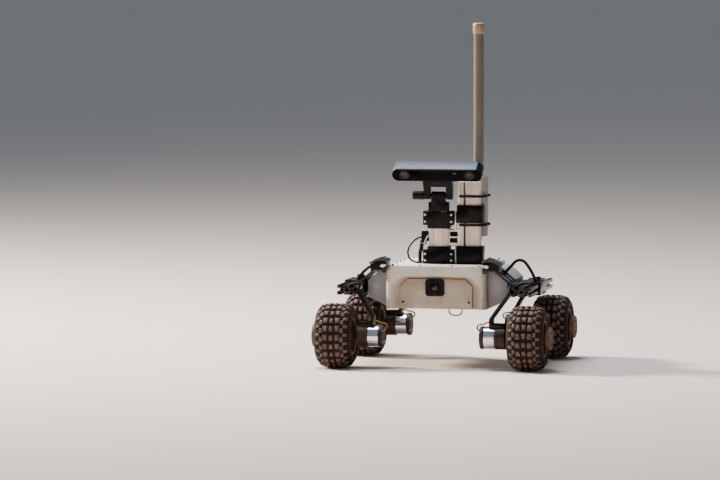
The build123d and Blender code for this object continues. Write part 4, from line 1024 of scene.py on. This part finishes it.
# Distance in front of the window's back, radius
EYE = ((0.1, 0.0), (0.1, 10.5), (2.4, 10.5), (2.8, 9.9), (1.9, 7.8), (1.4, 6.0), (1.2, 5.2))
EYE_GLASS = ((1.1, 5.4), (1.8, 4.3), (2.2, 2.3), (2.3, 0.0))
eyes, glasses = [], []
for sx in (-1, 1):
    spot = face_middle - forward * 1.5 + Vector((sx * EYE_X, 0, 0))
    eyes.append((EYE, facing(forward, spot)))
    glasses.append((EYE_GLASS, facing(forward, spot)))
dress(turned_piece("stereo_eye_rings", eyes, lens_trim, 32, 36), "camera_head", "face")
dress(turned_piece("stereo_eye_glasses", glasses, lens_glass, 60, 36), "camera_head", "lens")
lamp_spot = Matrix.Translation(face_middle - forward * 0.7) @ aim
dress(outlined("stereo_range_lamp", [rounded(7.6, 2.6, 1.2, *RANGE_LAMP)], 1.2, lamp_spot, radio_abs, 0.2),
      "camera_head", "face")


# Radio and antenna

low, high, middle = span("radio_module")
radio = outlined("radio_case", [rounded(high.x - low.x, high.y - low.y, 9.0, steps=8)], high.z - low.z,
                 Matrix.Translation(middle), radio_abs, 1.6)
dress(radio, "chassis", "radio", "radio_module")
base = high.z
up = facing((0, 0, 1), (middle.x, middle.y, 0))
low, high = span("antenna_tube")[:2]
TUBE_R = 10.3
TUBE = ((low.z, 0.0), (low.z, TUBE_R), (high.z, TUBE_R), (high.z, 0.0))
dress(turned_piece("antenna_rod", [(TUBE, up)], antenna_paint_and_shade, 32, 48), "chassis", "radio", "antenna_tube")
low, high = span("antenna_fittings")[:2]
FERRULES = (
    ((base, 0.0), (base, 9.2), (base + 6.0, 9.4), (base + 6.6, 8.6), (base + 7.4, 8.6), (base + 8.0, 9.4),
     (base + 17.6, 9.4),
     (base + 18.0, 10.2), (base + 28.4, 10.35), (base + 29.0, 9.8), (base + 29.0, 0.0)),
    ((high.z - 22.0, 0.0), (high.z - 22.0, 11.6), (high.z - 21.2, 12.1), (high.z - 3.0, 12.1),
     (high.z - 1.2, 11.3), (high.z, 9.0), (high.z, 0.0)),
)
CONNECTOR = ((low.z, 0.0), (low.z, 5.2), (low.z + 0.8, 6.3), (low.z + 9.0, 6.4), (low.z + 9.0, 0.0))
dress(turned_piece("antenna_ferrules", [(profile, up) for profile in FERRULES], plated_brass, 32, 48),
      "chassis", "brass", "antenna_fittings")
dress(turned_piece("radio_connector", [(CONNECTOR, up)], black_nylon, 32, 40), "chassis", "black_plastic")
soften("cable_ties", "cable_tie_bands", black_nylon, 0.3, 1, slot="black_plastic")
TIE_HEAD_X, TIE_HEAD_Y = 88.2, 1.0
TIE_HEAD_Z = (281.4, 339.2)
tie_heads = [outlined(f"tie_head_{number}", [rounded(6.0, 4.6, 0.8)], 3.6,
                      Matrix.Translation((TIE_HEAD_X, TIE_HEAD_Y, z)),
                      black_nylon, 0.3) for number, z in enumerate(TIE_HEAD_Z)]
dress(joined("tie_heads", tie_heads, black_nylon), "chassis", "black_plastic")
# Moulded boot and grip ring where the power lead leaves the plug
BOOT = ((0.0, 0.0), (0.0, 6.4), (2.6, 6.6), (3.2, 5.9), (10.0, 5.4), (19.5, 4.1), (20.0, 3.6), (20.0, 0.0))
boot_place = facing((-0.27, 0.02, -0.96), (-39.8, -30, 248.0))
dress(turned_piece("lead_boot", [(BOOT, boot_place)], black_nylon, 32, 32), "chassis", "black_plastic")
GRIP = ((3.0, 5.0), (3.0, 6.9), (5.2, 6.9), (5.2, 5.0))
dress(turned_piece("lead_grip_ring", [(GRIP, boot_place)], radio_abs, 32, 32), "chassis", "black_plastic")
# Bright bent bracket beside the plug, and the white terminal strip on the radio column's side
bracket = [(-27.6, 262.0), (-33.0, 256.0), (-36.8, 246.0), (-38.4, 231.2), (-36.2, 231.2), (-34.6, 245.0),
           (-31.0, 254.0), (-27.6, 258.6)]
dress(outlined("plug_bracket", [bracket], 3.0, upright((0, -40.5, 0)), bright_aluminium, 0.3),
      "chassis", "polished")
STRIP_PLACE, STRIP_LENGTH = (33.3, -33.0, 346.0), 44.0
strip = outlined("terminal_strip", [rounded(6.2, 12.0, 1.0)], STRIP_LENGTH, Matrix.Translation(STRIP_PLACE),
                 deck_coat, 0.5)
dress(strip, "chassis", "shell")
soften("camera_plug", "camera_plug_body", black_nylon, 1.2, 3, slot="black_plastic")
soften("glands", "loom_glands", black_nylon, 0.5, slot="black_plastic", sharp_deg=60)
soften("loom_clips", "loom_clip_blocks", black_nylon, 0.8, slot="black_plastic")
for helper in [o for o in bpy.data.objects if o.name.startswith(("knob_", "button_head"))]:
    bpy.data.objects.remove(helper)


# Floor, light and camera

def stage():
    """The pale floor."""
    material = bpy.data.materials.new("pale_floor")
    material.use_nodes = True
    tree = material.node_tree
    shader = tree.nodes["Principled BSDF"]
    shader.inputs["Base Color"].default_value = srgb("#d9d1c8")
    shader.inputs["Roughness"].default_value = 0.9
    mesh = bpy.data.meshes.new("floor")
    mesh.from_pydata([(-60, -60, 0), (60, -60, 0), (60, 60, 0), (-60, 60, 0)], [], [(0, 1, 2, 3)])
    floor = piece("floor", mesh, material)


stage()


def lamp(name, place, aim_at, size, power, colour):
    """A soft round light, aimed at a place."""
    light = bpy.data.lights.new(name, "AREA")
    light.shape = "DISK"
    light.size = size
    light.energy = power
    light.color = srgb(colour)[:3]
    obj = linked(name, light)
    obj.location = place
    obj.rotation_euler = (Vector(aim_at) - Vector(place)).to_track_quat("-Z", "Y").to_euler()


lamp("key", (-3.9, 0.7, 2.5), (0, 0, 0.2), 0.8, 380, "#fff3e4")
lamp("fill", (0.6, -4.4, 0.5), (0, 0, 0.25), 2.4, 25, "#ffd9bd")
lamp("top", (-0.8, 0.3, 3.2), (0, 0, 0.2), 2.0, 112, "#f4f7ff")
world = bpy.data.worlds.new("studio")
bpy.context.scene.world = world
world.use_nodes = True
sky = world.node_tree
rise = add(sky, "ShaderNodeSeparateXYZ", {"Vector": add(sky,
                                                        "ShaderNodeTexCoord").outputs["Generated"]}).outputs["Z"]
haze = add(sky, "ShaderNodeMapRange", {"Value": rise, "From Min": -0.15, "From Max": 0.5})
tint = add(sky, "ShaderNodeMix", {"Factor": haze.outputs[0], "A": srgb("#c9b5a4"), "B": srgb("#cfdcee")},
           data_type="RGBA")
sky.links.new(tint.outputs["Result"], sky.nodes["Background"].inputs["Color"])
sky.nodes["Background"].inputs["Strength"].default_value = 0.36

CAMERA_AZIMUTH = radians(11.0)
CAMERA_ELEVATION = radians(3.8)
DISTANCE = 12.0
looked_at = Vector((-0.153, -0.118, 0.254))
outward = Vector((sin(CAMERA_AZIMUTH) * cos(CAMERA_ELEVATION), -cos(CAMERA_AZIMUTH) * cos(CAMERA_ELEVATION),
                  sin(CAMERA_ELEVATION)))
lens = bpy.data.cameras.new("camera")
lens.lens = 300.0
lens.sensor_width = 36.0
lens.clip_end = 200.0
camera = linked("camera", lens)
camera.location = looked_at + outward * DISTANCE
camera.rotation_euler = (-outward).to_track_quat("-Z", "Y").to_euler()
bpy.context.scene.camera = camera
bpy.context.scene.view_settings.view_transform = "AgX"
bpy.context.scene.view_settings.look = "AgX - Medium High Contrast"
